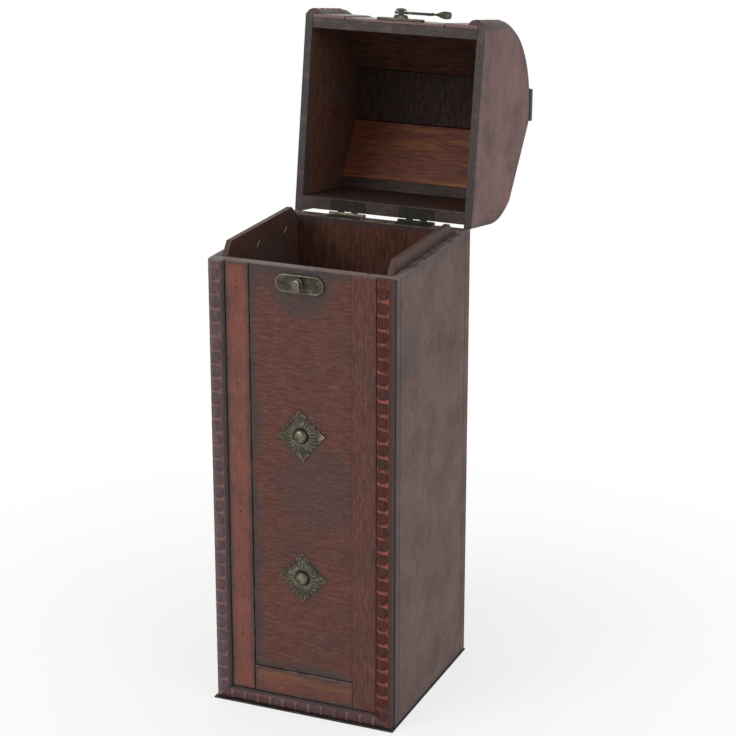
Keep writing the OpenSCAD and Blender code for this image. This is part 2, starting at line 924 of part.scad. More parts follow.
module hinge_pin(side) {
  over = 0.6;
  color("#9c937c") translate([side * hinge_x - hinge_w / 2, axis_y, axis_z]) rotate([0, 90, 0]) {
    translate([0, 0, -over]) cylinder(r = pin_r, h = hinge_w + 2 * over);
    for (z = [-over, hinge_w + over - 0.4]) translate([0, 0, z]) cylinder(r = pin_head_r, h = 0.4);
  }
}

module left_hinge_body_leaf() body_leaf(-1);

module right_hinge_body_leaf() body_leaf(1);

module left_hinge_lid_leaf() lid_leaf(-1);

module right_hinge_lid_leaf() lid_leaf(1);

module left_hinge_pin() hinge_pin(-1);

module right_hinge_pin() hinge_pin(1);

// ---------------------------------------------------------------- assembly

base_sheet();
bottom_board();
front_board();
back_board();
left_side();
right_side();
left_liner();
right_liner();
left_stile();
right_stile();
bottom_rail();
front_field();
left_bead();
right_bead();
bottom_bead();
upper_rosette();
lower_rosette();
rosette_nails();
strike_plate();
strike_stud();
strike_nails();
stile_pins();
back_brads();
liner_staples();
lid_left_end();
lid_right_end();
lid_front_wall();
lid_back_wall();
lid_front_slat();
lid_middle_slat();
lid_rear_slat();
lid_left_strip();
lid_right_strip();
lid_field();
lid_left_bead_front();
lid_left_bead_dome();
lid_left_bead_rear();
lid_right_bead_front();
lid_right_bead_dome();
lid_right_bead_rear();
lid_end_brads();
handle_strap();
handle_backing();
handle_tacks();
latch_plate();
latch_boss();
latch_rivet();
latch_nails();
latch_hook();
left_hinge_body_leaf();
left_hinge_lid_leaf();
left_hinge_pin();
right_hinge_body_leaf();
right_hinge_lid_leaf();
right_hinge_pin();
hinge_body_nails();
hinge_lid_nails();
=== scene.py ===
"""A small wooden wine box with a domed lid, dressed in worn stained wood, aged brass and leather.

It loads the box's solid frame, gives every board, moulding and fitting its finished shape and surface,
and sets a pale floor, soft studio lamps and a camera."""

import json
import math

from functools import reduce

import bmesh
import bpy
from bpy.props import FloatProperty, FloatVectorProperty, PointerProperty
from mathutils import Matrix, Vector

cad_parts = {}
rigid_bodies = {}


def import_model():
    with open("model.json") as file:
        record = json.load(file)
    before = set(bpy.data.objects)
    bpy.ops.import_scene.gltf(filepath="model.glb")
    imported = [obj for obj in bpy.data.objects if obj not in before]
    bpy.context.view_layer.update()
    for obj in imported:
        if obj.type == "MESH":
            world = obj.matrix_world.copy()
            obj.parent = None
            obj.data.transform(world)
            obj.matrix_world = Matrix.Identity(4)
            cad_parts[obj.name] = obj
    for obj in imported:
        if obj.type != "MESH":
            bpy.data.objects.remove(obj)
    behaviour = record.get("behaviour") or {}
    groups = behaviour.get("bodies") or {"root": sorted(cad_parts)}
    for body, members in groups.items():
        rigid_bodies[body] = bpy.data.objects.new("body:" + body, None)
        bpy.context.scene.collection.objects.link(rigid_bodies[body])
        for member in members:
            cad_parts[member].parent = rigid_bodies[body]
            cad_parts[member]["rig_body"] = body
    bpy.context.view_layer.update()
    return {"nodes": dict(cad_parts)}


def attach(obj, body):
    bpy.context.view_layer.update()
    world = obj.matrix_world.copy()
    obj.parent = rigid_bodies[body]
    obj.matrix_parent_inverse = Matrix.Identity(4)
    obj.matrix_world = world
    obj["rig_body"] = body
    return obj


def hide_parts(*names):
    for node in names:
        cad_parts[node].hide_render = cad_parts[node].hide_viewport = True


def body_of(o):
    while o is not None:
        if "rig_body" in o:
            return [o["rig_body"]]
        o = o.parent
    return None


bl_info = {
    "name": "Wooden wine box",
    "version": (1, 0, 0),
    "blender": (4, 5, 0),
    "location": "3D View > Sidebar > Wine box",
    "description": "Dresses a domed wooden wine box in stained wood, brass and leather",
    "category": "Object",
}

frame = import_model()

MM = 0.001

# Sizes that the solids are built from, in metres
HALF_W = 54 * MM
HALF_D = 55 * MM
BODY_H = 258 * MM
BOARD_Y = -52.5 * MM
FIELD_Y = -54.1 * MM
STUD_Z = 249.8 * MM
ROSETTES_Z = (82.4 * MM, 165.2 * MM)
FOOT_Z = 1.2 * MM
LID_STRAIGHT = 32 * MM
LID_OVER = 2 * MM
FLAT_AT = 49 * MM
FLAT_TURN = math.radians(61)
FLAT_HALF = math.acos(FLAT_AT / HALF_D)

# Mouldings: where their middle and their sides stand, their width, and how far they bulge
BEAD_MID_X = 48.6 * MM
BEAD_IN_X = 44 * MM
BEAD_OUT_X = 53.2 * MM
BEAD_W = 9.2 * MM
BEAD_RISE = 3 * MM
BEAD_BASE = -2.5 * MM
FOOT_BEAD_W = 7.4 * MM
MITRE_GAP = 0.05 * MM

# Notches of the mouldings: half width, place of the middle, and slope of the sides
NOTCH_HALF_W = 3.7 * MM
NOTCH_X = -0.8 * MM
NOTCH_SLOPE = 0.45 * MM

# Latch: place and height of the hook's pivot on the shut lid, and the direction the hook points
PIVOT_X = 1.5 * MM
PIVOT_Z = 6.4 * MM
HOOK_UP = 4.6 * MM
HOOK_TURN = math.radians(18)

# Strap: rise and half span of its arch, radius of its bends, lean, and the height of its foot
STRAP_RISE = 17 * MM
STRAP_SPAN = 37 * MM
STRAP_BEND = 12 * MM
STRAP_END_X = HALF_W - 0.4 * MM
STRAP_LEAN = math.radians(8)
STRAP_FOOT = HALF_D + BEAD_RISE

# Hinge: height of the lid's rim when shut, the axis, and how far the lid swings open
RIM_Z = 258.3 * MM
AXIS_Y = 56.3 * MM
AXIS_Z = 258.15 * MM
OPEN_TURN = math.radians(99)

# Camera: azimuth and elevation in degrees; distance and place in metres; lens in millimetres
CAMERA_TURN = (22.972, 18.822)
CAMERA_AWAY = 1.29457
CAMERA_SHIFT = (0.01438, 0.17654)
CAMERA_LENS = 109.197

# The lid is drawn shut, with its rim at z = 0, and this turns it open on the hinge axis
OPEN_LID = (
    Matrix.Translation((0, AXIS_Y, AXIS_Z))
    @ Matrix.Rotation(-OPEN_TURN, 4, "X")
    @ Matrix.Translation((0, -AXIS_Y, RIM_Z - AXIS_Z))
)
SHUT_LID = OPEN_LID.inverted()
ON_DOME = (
    OPEN_LID
    @ Matrix.Translation((0, 0, LID_STRAIGHT))
    @ Matrix.Rotation(STRAP_LEAN, 4, "X")
    @ Matrix.Translation((0, 0, STRAP_FOOT))
)
FACE_FRONT = Matrix.Rotation(math.radians(90), 4, "X")


def srgb(code):
    """Linear colour of an sRGB hex code."""
    channels = [int(code[i : i + 2], 16) / 255 for i in (1, 3, 5)]
    return tuple(
        c / 12.92 if c <= 0.04045 else ((c + 0.055) / 1.055) ** 2.4 for c in channels
    )


def colour(name, description, code):
    return FloatVectorProperty(
        name=name,
        description=description,
        subtype="COLOR",
        size=3,
        min=0,
        max=1,
        default=srgb(code),
    )


def length(name, description, mm):
    return FloatProperty(
        name=name, description=description, default=mm * MM, min=0, unit="LENGTH"
    )


class WineBoxSizes(bpy.types.PropertyGroup):
    edge_round: length("Worn edges", "Width of the rounding along the edges of the boards", 0.45)
    metal_round: length("Metal edges", "Width of the rounding along the edges of the fittings", 0.2)
    cell_pitch: length("Notch spacing", "Distance from one notch of a moulding to the next", 7.8)
    cell_ridge: length("Notch ridge", "Width of the ridge between two notches", 1.2)
    cell_depth: length("Notch depth", "How deep a notch is cut into the moulding", 0.9)


class WineBoxColours(bpy.types.PropertyGroup):
    field: colour("Front field", "Stain on the middle of the front", "#562d26")
    field_light: colour("Front field, light grain", "Lighter grain of the front", "#694237")
    stile: colour("Left stile", "Stain on the stile left of the field", "#7a4539")
    stile_light: colour("Left stile, light grain", "Lighter grain of the left stile", "#7d5043")
    stile_streak: colour("Stile streaks", "Red streaks in the stiles", "#8e483a")
    rail: colour("Bottom rail", "Stain on the rail under the field", "#5e3c33")
    rail_streak: colour("Rail streaks", "Amber streak in the rail", "#8a5a3a")
    bead: colour("Moulding", "Stain in the notches of the mouldings", "#3a130e")
    bead_red: colour("Moulding, light grain", "Lighter grain in the notches", "#55221c")
    bead_light: colour("Dark moulding, light grain", "Grain of the dark mouldings", "#6a5254")
    bead_ridge: colour("Moulding ridges", "Worn ridges of the mouldings", "#91503f")
    bead_dark: colour("Dark moulding", "Wax over the left and foot mouldings", "#503e43")
    bead_pink: colour("Dark moulding ridges", "Worn ridges of the dark mouldings", "#7f5b54")
    side: colour("Side boards", "Stain on the sides of the body", "#50372f")
    side_light: colour("Side boards, light grain", "Lighter grain of the sides", "#624439")
    # This dark wax colour also paints the shade on one flank of every moulding
    smudge_and_shade: colour("Smudges", "Dark wax left along edges and round the fittings", "#403937")
    # This pale colour also stands for a painted reflection on the tops of the rims
    worn_and_sheen: colour("Worn edges", "Bare wood where edges are rubbed", "#75655f")
    inside: colour("Inside", "Dark wash inside the box", "#40281f")
    inside_light: colour("Inside, light grain", "Lighter grain inside the box", "#643e2d")
    lid_end: colour("Lid ends", "Stain on the ends of the lid", "#63423f")
    lid_end_light: colour("Lid ends, light grain", "Lighter grain of the lid's ends", "#70504b")
    lid_skin: colour("Lid skin", "Stain on the outside of the lid", "#51332d")
    lid_skin_light: colour("Lid skin, light grain", "Lighter grain outside the lid", "#66463d")
    liner: colour("Liners", "Stain on the liners", "#3c2c27")
    lid_end_streak: colour("Lid end streaks", "Red streaks in the ends of the lid", "#7e4038")
    lid_wall: colour("Lid inside", "Wash on the walls inside the lid", "#38231f")
    # Partly a near-black stain, partly painted shade deep inside the open lid and along its back wall at the
    # hinges; the base sheet takes it too
    slat_dark_and_shade: colour("Dark slat", "Nearly black slat in the lid", "#141113")
    slat: colour("Slats", "Red-brown slats in the lid", "#55281b")
    slat_light: colour("Slats, light grain", "Lighter grain of the rear slat", "#7a4229")
    slat_streak: colour("Slat streaks", "Orange streaks of the rear slat", "#a06434")
    brass: colour("Brass", "Aged brass of plates and rosettes", "#45423a")
    brass_bright: colour("Rubbed brass", "Brass on rubbed high places", "#9c927c")
    # Partly blackened brass, partly painted shade of the gap between lid and body where the hinges sit
    hinge: colour("Hinges", "Blackened brass of the hinges", "#2c2a25")
    strap: colour("Strap", "Leather of the handle", "#2f2f37")
    floor: colour("Floor", "Studio floor", "#f2f2f2")


def sizes():
    return bpy.context.scene.wine_box_sizes


def colours():
    return bpy.context.scene.wine_box_colours


# ---------------------------------------------------------------- making and placing


def deselect():
    if bpy.context.object and bpy.context.object.mode != "OBJECT":
        bpy.ops.object.mode_set(mode="OBJECT")
    bpy.ops.object.select_all(action="DESELECT")


def pick(obj):
    deselect()
    obj.select_set(True)
    bpy.context.view_layer.objects.active = obj
    return obj


def place(obj, matrix):
    """Put obj where matrix says, with its object at the origin and its place in its mesh."""
    pick(obj)
    obj.matrix_world = matrix @ obj.matrix_world
    bpy.ops.object.transform_apply(location=True, rotation=True, scale=True)
    return obj


def finish_piece(obj, material, *nodes, smooth=35):
    """Give a piece a material and the body of the CAD nodes it replaces, hide those nodes, and smooth it up
    to an angle.
    """
    pick(obj)
    bpy.ops.object.mode_set(mode="EDIT")
    bpy.ops.mesh.select_all(action="SELECT")
    bpy.ops.mesh.normals_make_consistent(inside=False)
    bpy.ops.object.mode_set(mode="OBJECT")
    bpy.ops.object.shade_smooth_by_angle(angle=math.radians(smooth))
    obj.data.materials.clear()
    obj.data.materials.append(material)
    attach(obj, body_of(frame["nodes"][nodes[0]])[0])
    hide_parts(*nodes)
    return obj


def copy_of(node, name):
    """A merged copy of a CAD node's mesh, as a new object with flat faces in one piece."""
    mesh = frame["nodes"][node].data.copy()
    obj = bpy.data.objects.new(name, mesh)
    bpy.context.scene.collection.objects.link(obj)
    pick(obj)
    bpy.ops.object.mode_set(mode="EDIT")
    bpy.ops.mesh.select_all(action="SELECT")
    bpy.ops.mesh.remove_doubles(threshold=0.002 * MM)
    bpy.ops.mesh.dissolve_limited(angle_limit=math.radians(1))
    bpy.ops.object.mode_set(mode="OBJECT")
    return obj


def round_edges(obj, width, shortest=1.6 * MM, sharp=25):
    """Round the sharp edges of obj that are longer than shortest, by width."""
    pick(obj)
    bpy.ops.object.mode_set(mode="EDIT")
    bpy.ops.mesh.select_mode(type="EDGE")
    bpy.ops.mesh.select_all(action="DESELECT")
    net = bmesh.from_edit_mesh(obj.data)
    for edge in net.edges:
        if len(edge.link_faces) == 2 and edge.calc_length() > shortest:
            if edge.calc_face_angle(0) > math.radians(sharp):
                edge.select_set(True)
    bmesh.update_edit_mesh(obj.data)
    bpy.ops.mesh.bevel(offset=width, segments=2, affect="EDGES", clamp_overlap=True)
    bpy.ops.object.mode_set(mode="OBJECT")
    return obj


def flat_faces(obj):
    """Shade the large faces of obj flat, up to its rounded edges."""
    pick(obj)
    weigh = obj.modifiers.new("weigh", "WEIGHTED_NORMAL")
    weigh.keep_sharp = True
    weigh.weight = 100
    bpy.ops.object.modifier_apply(modifier="weigh")
    return obj


def dressed(node, name, material, width=None, shortest=1.6 * MM):
    """A CAD node with rounded edges under a new finish."""
    obj = copy_of(node, name)
    round_edges(obj, sizes().edge_round if width is None else width, shortest)
    return flat_faces(finish_piece(obj, material, node))


def rub_and_highlight(obj, share_of):
    """Mark how bright obj is made, from 0 to 1, as a function of the place of a vertex: rubbed metal, and a
    painted highlight on the strike lug.
    """
    brightened = obj.data.attributes.new("brightened", "FLOAT", "POINT")
    for vert, share in zip(obj.data.vertices, brightened.data):
        share.value = max(0, min(1, share_of(vert.co)))
    return obj


def carried(node, material):
    """A CAD node that keeps its shape and gets a better finish."""
    obj = frame["nodes"][node]
    if not obj.material_slots:
        obj.data.materials.append(material)
    for held in obj.material_slots:
        held.material = material
    return obj


def loft(name, rings):
    """A closed skin through rings of points, made by extruding the first ring from one to the next."""
    deselect()
    bpy.ops.mesh.primitive_circle_add(vertices=len(rings[0]), radius=1)
    obj = bpy.context.object
    obj.name = name
    obj.data.name = name
    bpy.ops.object.mode_set(mode="EDIT")
    bpy.ops.mesh.select_mode(type="VERT")
    net = bmesh.from_edit_mesh(obj.data)
    spot = net.verts.layers.int.new("spot")
    net.verts.ensure_lookup_table()
    ordered = sorted(net.verts, key=lambda v: math.atan2(v.co.x, v.co.y) % math.tau)
    for i, vert in enumerate(ordered):
        vert[spot] = i
        vert.co = rings[0][i]
    bpy.ops.mesh.select_all(action="SELECT")
    bpy.ops.mesh.edge_face_add()
    bpy.ops.mesh.select_all(action="SELECT")
    for ring_points in rings[1:]:
        bpy.ops.mesh.extrude_edges_move()
        net = bmesh.from_edit_mesh(obj.data)
        spot = net.verts.layers.int["spot"]
        for vert in net.verts:
            if vert.select:
                vert.co = ring_points[vert[spot]]
        bmesh.update_edit_mesh(obj.data)
    bpy.ops.mesh.edge_face_add()
    bpy.ops.mesh.select_all(action="SELECT")
    bpy.ops.mesh.normals_make_consistent(inside=False)
    bpy.ops.object.mode_set(mode="OBJECT")
    obj.data.attributes.remove(obj.data.attributes["spot"])
    return obj


# ---------------------------------------------------------------- shader steps


def feed(tree, node, inputs):
    """Link or set inputs of a node."""
    for socket, value in inputs.items():
        if isinstance(value, bpy.types.NodeSocket):
            tree.links.new(value, node.inputs[socket])
        else:
            node.inputs[socket].default_value = value
    return node


def add_node(tree, kind, inputs=None, **settings):
    """Add a node with its settings and inputs."""
    node = tree.nodes.new(kind)
    for name, value in settings.items():
        setattr(node, name, value)
    return feed(tree, node, inputs or {})


def new_material(name):
    material = bpy.data.materials.new(name)
    material.use_nodes = True
    tree = material.node_tree
    tree.nodes.clear()
    shader = add_node(tree, "ShaderNodeBsdfPrincipled")
    add_node(tree, "ShaderNodeOutputMaterial", {"Surface": shader.outputs[0]})
    return material, tree, shader


def maths(tree, operation, *values, use_clamp=False):
    """Number that one step of arithmetic gives."""
    inputs = dict(enumerate(values))
    node = add_node(tree, "ShaderNodeMath", inputs, operation=operation, use_clamp=use_clamp)
    return node.outputs[0]


def vector_maths(tree, operation, *values):
    """Number that one step of vector arithmetic gives: a distance, a length or a dot product."""
    inputs = dict(enumerate(values))
    return add_node(tree, "ShaderNodeVectorMath", inputs, operation=operation).outputs[1]


def spread(tree, value, start, end, low=0, high=1, soft=True):
    """Carry start to low and end to high, with nothing beyond them, along a soft or a straight line."""
    inputs = {0: value, 1: start, 2: end, 3: low, 4: high}
    kind = "SMOOTHSTEP" if soft else "LINEAR"
    return add_node(tree, "ShaderNodeMapRange", inputs, interpolation_type=kind).outputs[0]


def blend(tree, share, first, second):
    """Mix of two colours: the first where share is 0, the second where it is 1."""
    inputs = {0: share}
    for socket, tone in ((6, first), (7, second)):
        inputs[socket] = tone if isinstance(tone, bpy.types.NodeSocket) else (*tone, 1)
    return add_node(tree, "ShaderNodeMix", inputs, data_type="RGBA").outputs[2]


def noise(tree, place_of, scale, detail, roughness=0.5, distortion=0):
    """Cloudy pattern, with scale patches to the metre."""
    inputs = {"Vector": place_of, "Scale": scale, "Detail": detail}
    inputs.update({"Roughness": roughness, "Distortion": distortion})
    return add_node(tree, "ShaderNodeTexNoise", inputs).outputs[0]


def grained(tree, place_of, grain, along, across, detail, *rest, shift=(0, 0, 0)):
    """Noise drawn out along the grain, with different numbers of patches to the metre each way."""
    scale = [along if axis in grain else across for axis in "XYZ"]
    inputs = {"Vector": place_of, "Scale": scale, "Location": shift}
    return noise(tree, add_node(tree, "ShaderNodeMapping", inputs).outputs[0], 1, detail, *rest)


def bump(tree, height, strength, distance):
    inputs = {"Height": height, "Strength": strength, "Distance": distance}
    return add_node(tree, "ShaderNodeBump", inputs).outputs[0]


def attribute(tree, name):
    return add_node(tree, "ShaderNodeAttribute", attribute_name=name).outputs["Fac"]


def looked_at(tree):
    """1 for rays that show a background to the camera, directly or in metal or glass."""
    rays = add_node(tree, "ShaderNodeLightPath").outputs
    seen = maths(tree, "MAXIMUM", rays["Is Camera Ray"], rays["Is Glossy Ray"])
    return maths(tree, "MAXIMUM", seen, rays["Is Transmission Ray"])


def drawn_place(tree, on_lid):
    """Object coordinates, turned back to the shut lid for a piece of the lid."""
    place_of = add_node(tree, "ShaderNodeTexCoord").outputs["Object"]
    if not on_lid:
        return place_of
    inputs = {"Vector": place_of, "Location": SHUT_LID.translation, "Rotation": (OPEN_TURN, 0, 0)}
    return add_node(tree, "ShaderNodeMapping", inputs).outputs[0]


def box(**sides):
    """Low and high ends of a box along some axes, given in millimetres and returned in metres."""
    return {axis: (low * MM, high * MM) for axis, (low, high) in sides.items()}


def from_border(tree, place_of, border):
    """Distance inwards from the nearest side of a box, in metres."""
    parts = add_node(tree, "ShaderNodeSeparateXYZ", {0: place_of}).outputs
    gaps = []
    for axis, (low, high) in border.items():
        along = parts["XYZ".index(axis)]
        gaps += [maths(tree, "SUBTRACT", along, low), maths(tree, "SUBTRACT", high, along)]
    return reduce(lambda nearest, gap: maths(tree, "MINIMUM", nearest, gap), gaps)


def from_dome(tree, place_of):
    """Distance inwards from the outline of the lid's end, in metres, on the shut lid."""
    _, y, z = add_node(tree, "ShaderNodeSeparateXYZ", {0: place_of}).outputs
    rear = maths(tree, "SUBTRACT", y, LID_OVER)
    across = maths(tree, "MAXIMUM", maths(tree, "MULTIPLY", y, -1), rear)
    rise = maths(tree, "SUBTRACT", z, LID_STRAIGHT)
    over = maths(tree, "MAXIMUM", rise, 0)
    round_point = add_node(tree, "ShaderNodeCombineXYZ", {0: across, 1: over}).outputs[0]
    dome = maths(tree, "SUBTRACT", HALF_D, vector_maths(tree, "LENGTH", round_point))
    point = add_node(tree, "ShaderNodeCombineXYZ", {0: y, 1: rise}).outputs[0]
    facing = (math.cos(FLAT_TURN), math.sin(FLAT_TURN), 0)
    flat = maths(tree, "SUBTRACT", FLAT_AT, vector_maths(tree, "DOT_PRODUCT", point, facing))
    return maths(tree, "MINIMUM", maths(tree, "MINIMUM", dome, flat), z)


# ---------------------------------------------------------------- finishes


def worn_border(tree, place_of, tone, clouds, border, width, share, worn_from, worn_share):
    """Dark wax in an uneven band along the sides of a board, and pale wood on its edges: rubbed bare wood,
    which on the tops of the rims is partly a painted reflection.
    """
    look = colours()
    gap = from_dome(tree, place_of) if border == "dome" else from_border(tree, place_of, border)
    uneven = maths(tree, "MULTIPLY_ADD", clouds, -2.4 * width, gap)
    dark = spread(tree, uneven, 0.2 * width, -1.2 * width, 0, share)
    edge = spread(tree, gap, 0.9 * MM, 0.1 * MM)
    # Patches about 8 mm across where the edges turn pale: rubbed wood, and on the rim tops partly a painted
    # reflection
    patches = noise(tree, place_of, 120, 3, 0.6)
    patch = spread(tree, patches, worn_from, worn_from + 0.16, 0, worn_share)
    tone = blend(tree, dark, tone, look.smudge_and_shade)
    return blend(tree, maths(tree, "MULTIPLY", edge, patch), tone, look.worn_and_sheen)


def worn_ridges_and_shade(tree, place_of, tone, bare):
    """Ridges between the notches, where the stain is rubbed back, beside a band of painted shade, darkened
    with the wax colour, on one flank.
    """
    ridge_wear_and_shade = attribute(tree, "ridge_wear_and_shade")
    # Painted shade on the plain band along one flank of the moulding
    painted_shade_band = spread(tree, ridge_wear_and_shade, 0, -1, 0, 0.75, soft=False)
    tone = blend(tree, painted_shade_band, tone, colours().smudge_and_shade)
    brightened = spread(tree, noise(tree, place_of, 190, 3, 0.6), 0.34, 0.64, 0.2, 1)
    return blend(tree, maths(tree, "MULTIPLY", ridge_wear_and_shade, brightened, use_clamp=True), tone, bare)


def stained_wood(
    name, stain, light, grain, on_lid=False, streak=None, streak_share=0.5, streak_outside=False,
    smudge_share=0.5, border=None, border_w=4 * MM, border_share=0.85, worn_share=0.6, worn_from=0.44,
    carved=None, halos=(), hollow=None, fleck_share=0.4, roughness=0.5, gloss=0.25,
):
    """Softwood board, stained red-brown, smudged with dark wax and rubbed: satin, with fine grain.

    Grain names the axis that the fibres follow, or both axes that a bent strip turns through. Streak
    is the colour of the streaks and carved that of the ridges. Border is the box, or the dome, along
    whose sides the board is worn, and hollow is the box inside which it only had a wash. Halos give
    a place, a reach and a share of dark wax."""
    look = colours()
    material, tree, shader = new_material(name)
    place_of = drawn_place(tree, on_lid)
    # Growth lines about 1.3 mm apart, long along the grain, coarser than the real wood's so they show
    lines = grained(tree, place_of, grain, 130, 760, 4, 0.6, 0.5)
    paler = spread(tree, lines, 0.34, 0.68)
    tone = blend(tree, paler, stain, light)
    if hollow is not None:
        # The faces inside the box only had a thin brown wash
        within = maths(tree, "GREATER_THAN", from_border(tree, place_of, hollow), 0)
        tone = blend(tree, within, tone, blend(tree, paler, look.inside, look.inside_light))
    if streak is not None:
        # Streaks 5 to 8 mm wide where the stain took unevenly
        streaks = grained(tree, place_of, grain, 14, 150, 3, 0.6, 0.3, shift=(3.1, 1.7, 0.4))
        share = spread(tree, streaks, 0.5, 0.72, 0, streak_share)
        if streak_outside:
            share = maths(tree, "MULTIPLY", share, maths(tree, "SUBTRACT", 1, within))
        tone = blend(tree, share, tone, streak)
    # Cloudy wax, about 25 mm across, that also gathers round the fittings
    clouds = noise(tree, place_of, 42, 5, 0.65)
    tone = blend(tree, spread(tree, clouds, 0.42, 0.78, 0, smudge_share), tone, look.smudge_and_shade)
    for centre, reach, share in halos:
        away = maths(
            tree, "MULTIPLY_ADD", clouds, 12 * MM, vector_maths(tree, "DISTANCE", place_of, centre)
        )
        tone = blend(tree, spread(tree, away, 1.5 * reach, reach, 0, share), tone, look.smudge_and_shade)
    if border is not None:
        wear = (border, border_w, border_share, worn_from, worn_share)
        tone = worn_border(tree, place_of, tone, clouds, *wear)
    if carved is not None:
        tone = worn_ridges_and_shade(tree, place_of, tone, carved)
    # Open pores, 0.5 mm wide and 4 mm long, and pale flecks of that size where no stain took
    pores = grained(tree, place_of, grain, 250, 1900, 2)
    tone = blend(tree, spread(tree, pores, 0.44, 0.28, 0, 0.6), tone, look.smudge_and_shade)
    tone = blend(tree, spread(tree, pores, 0.56, 0.72, 0, fleck_share), tone, look.worn_and_sheen)
    dull = spread(tree, clouds, 0.3, 0.7, roughness - 0.1, roughness + 0.12, soft=False)
    relief = bump(tree, maths(tree, "MULTIPLY_ADD", lines, 0.6, pores), 0.35, 0.35 * MM)
    feed(tree, shader, {"Base Color": tone, "Roughness": dull, "Normal": relief})
    feed(tree, shader, {"IOR": 1.48, "Specular IOR Level": gloss})
    return material


def aged_metal(name, dark, bright, roughness=0.42, on_lid=False, spotted=0.4):
    """Stamped brass, darkened in a bath: dull olive-brown, rubbed bright on its high places, with a painted
    highlight where one is marked.
    """
    material, tree, shader = new_material(name)
    place_of = drawn_place(tree, on_lid)
    # Tarnish in spots about 3 mm across, and a grit of 0.7 mm
    spots = noise(tree, place_of, 330, 5, 0.65)
    grit = noise(tree, place_of, 1400, 2)
    uneven = spread(tree, spots, 0.3, 0.6, 0.35, 1, soft=False)
    share = spread(tree, spots, 0.48, 0.76, 0, spotted)
    # The marked share brightens the brass: rubbed high places, and the painted highlight on the strike lug
    share = maths(tree, "MULTIPLY_ADD", attribute(tree, "brightened"), uneven, share, use_clamp=True)
    dull = spread(tree, share, 0, 1, roughness + 0.15, roughness - 0.1, soft=False)
    tone = blend(tree, share, dark, bright)
    relief = bump(tree, grit, 0.4, 0.15 * MM)
    feed(tree, shader, {"Base Color": tone, "Roughness": dull, "Metallic": 0.85, "Normal": relief})
    return material


def strap_leather(name, tone_of):
    """Thin dyed leather, grained and creased: dark, with a soft low gloss."""
    material, tree, shader = new_material(name)
    place_of = drawn_place(tree, on_lid=True)
    # Leather grain of about 0.8 mm
    inputs = {"Vector": place_of, "Scale": 1250}
    cells = add_node(tree, "ShaderNodeTexVoronoi", inputs, feature="F1").outputs[0]
    clouds = noise(tree, place_of, 130, 4)
    creased = spread(tree, clouds, 0.4, 0.72, 0, 0.6)
    tone = blend(tree, creased, tone_of, [min(1, 2.2 * c) for c in tone_of])
    dull = spread(tree, clouds, 0.3, 0.7, 0.55, 0.75, soft=False)
    relief = bump(tree, cells, 0.5, 0.2 * MM)
    feed(tree, shader, {"Base Color": tone, "Roughness": dull, "IOR": 1.5, "Normal": relief})
    return material


def painted_stage(name, tone_of):
    """Matt studio board: flat, without gloss. The camera sees it white, with the shadow near the box."""
    material, tree, shader = new_material(name)
    place_of = drawn_place(tree, on_lid=False)
    tone = blend(tree, noise(tree, place_of, 6, 2), tone_of, [0.97 * c for c in tone_of])
    feed(tree, shader, {"Base Color": tone, "Roughness": 0.9})
    whiter = spread(tree, vector_maths(tree, "LENGTH", place_of), 0.08, 0.4, 0.72, 1)
    share = maths(tree, "MULTIPLY", whiter, looked_at(tree))
    white = add_node(tree, "ShaderNodeEmission", {"Color": (1, 1, 1, 1), "Strength": 1.0})
    inputs = {0: share, 1: shader.outputs[0], 2: white.outputs[0]}
    both = add_node(tree, "ShaderNodeMixShader", inputs).outputs[0]
    feed(tree, tree.nodes["Material Output"], {"Surface": both})
    return material


# ---------------------------------------------------------------- carved mouldings


def moulding_height(across):
    """Height of the round of a moulding, at a distance across from its middle."""
    half = BEAD_W / 2
    radius = (half * half + BEAD_RISE * BEAD_RISE) / (2 * BEAD_RISE)
    return BEAD_RISE - radius + math.sqrt(max(radius * radius - across * across, 0))


def part_of(value):
    """Value held between 0 and 1."""
    return max(0, min(1, value))


def notch(x, y, half_high):
    """How deep a place lies in a notch, from 0 outside it to 1 on its floor, and how near its middle."""
    power = 8 if x < 0 else 4.6
    away = (abs(x / NOTCH_HALF_W) ** power + abs(y / half_high) ** power) ** (1 / power)
    share = part_of((1 - away) * half_high / NOTCH_SLOPE)
    return share * share * (3 - 2 * share), max(0, 1 - away * away)


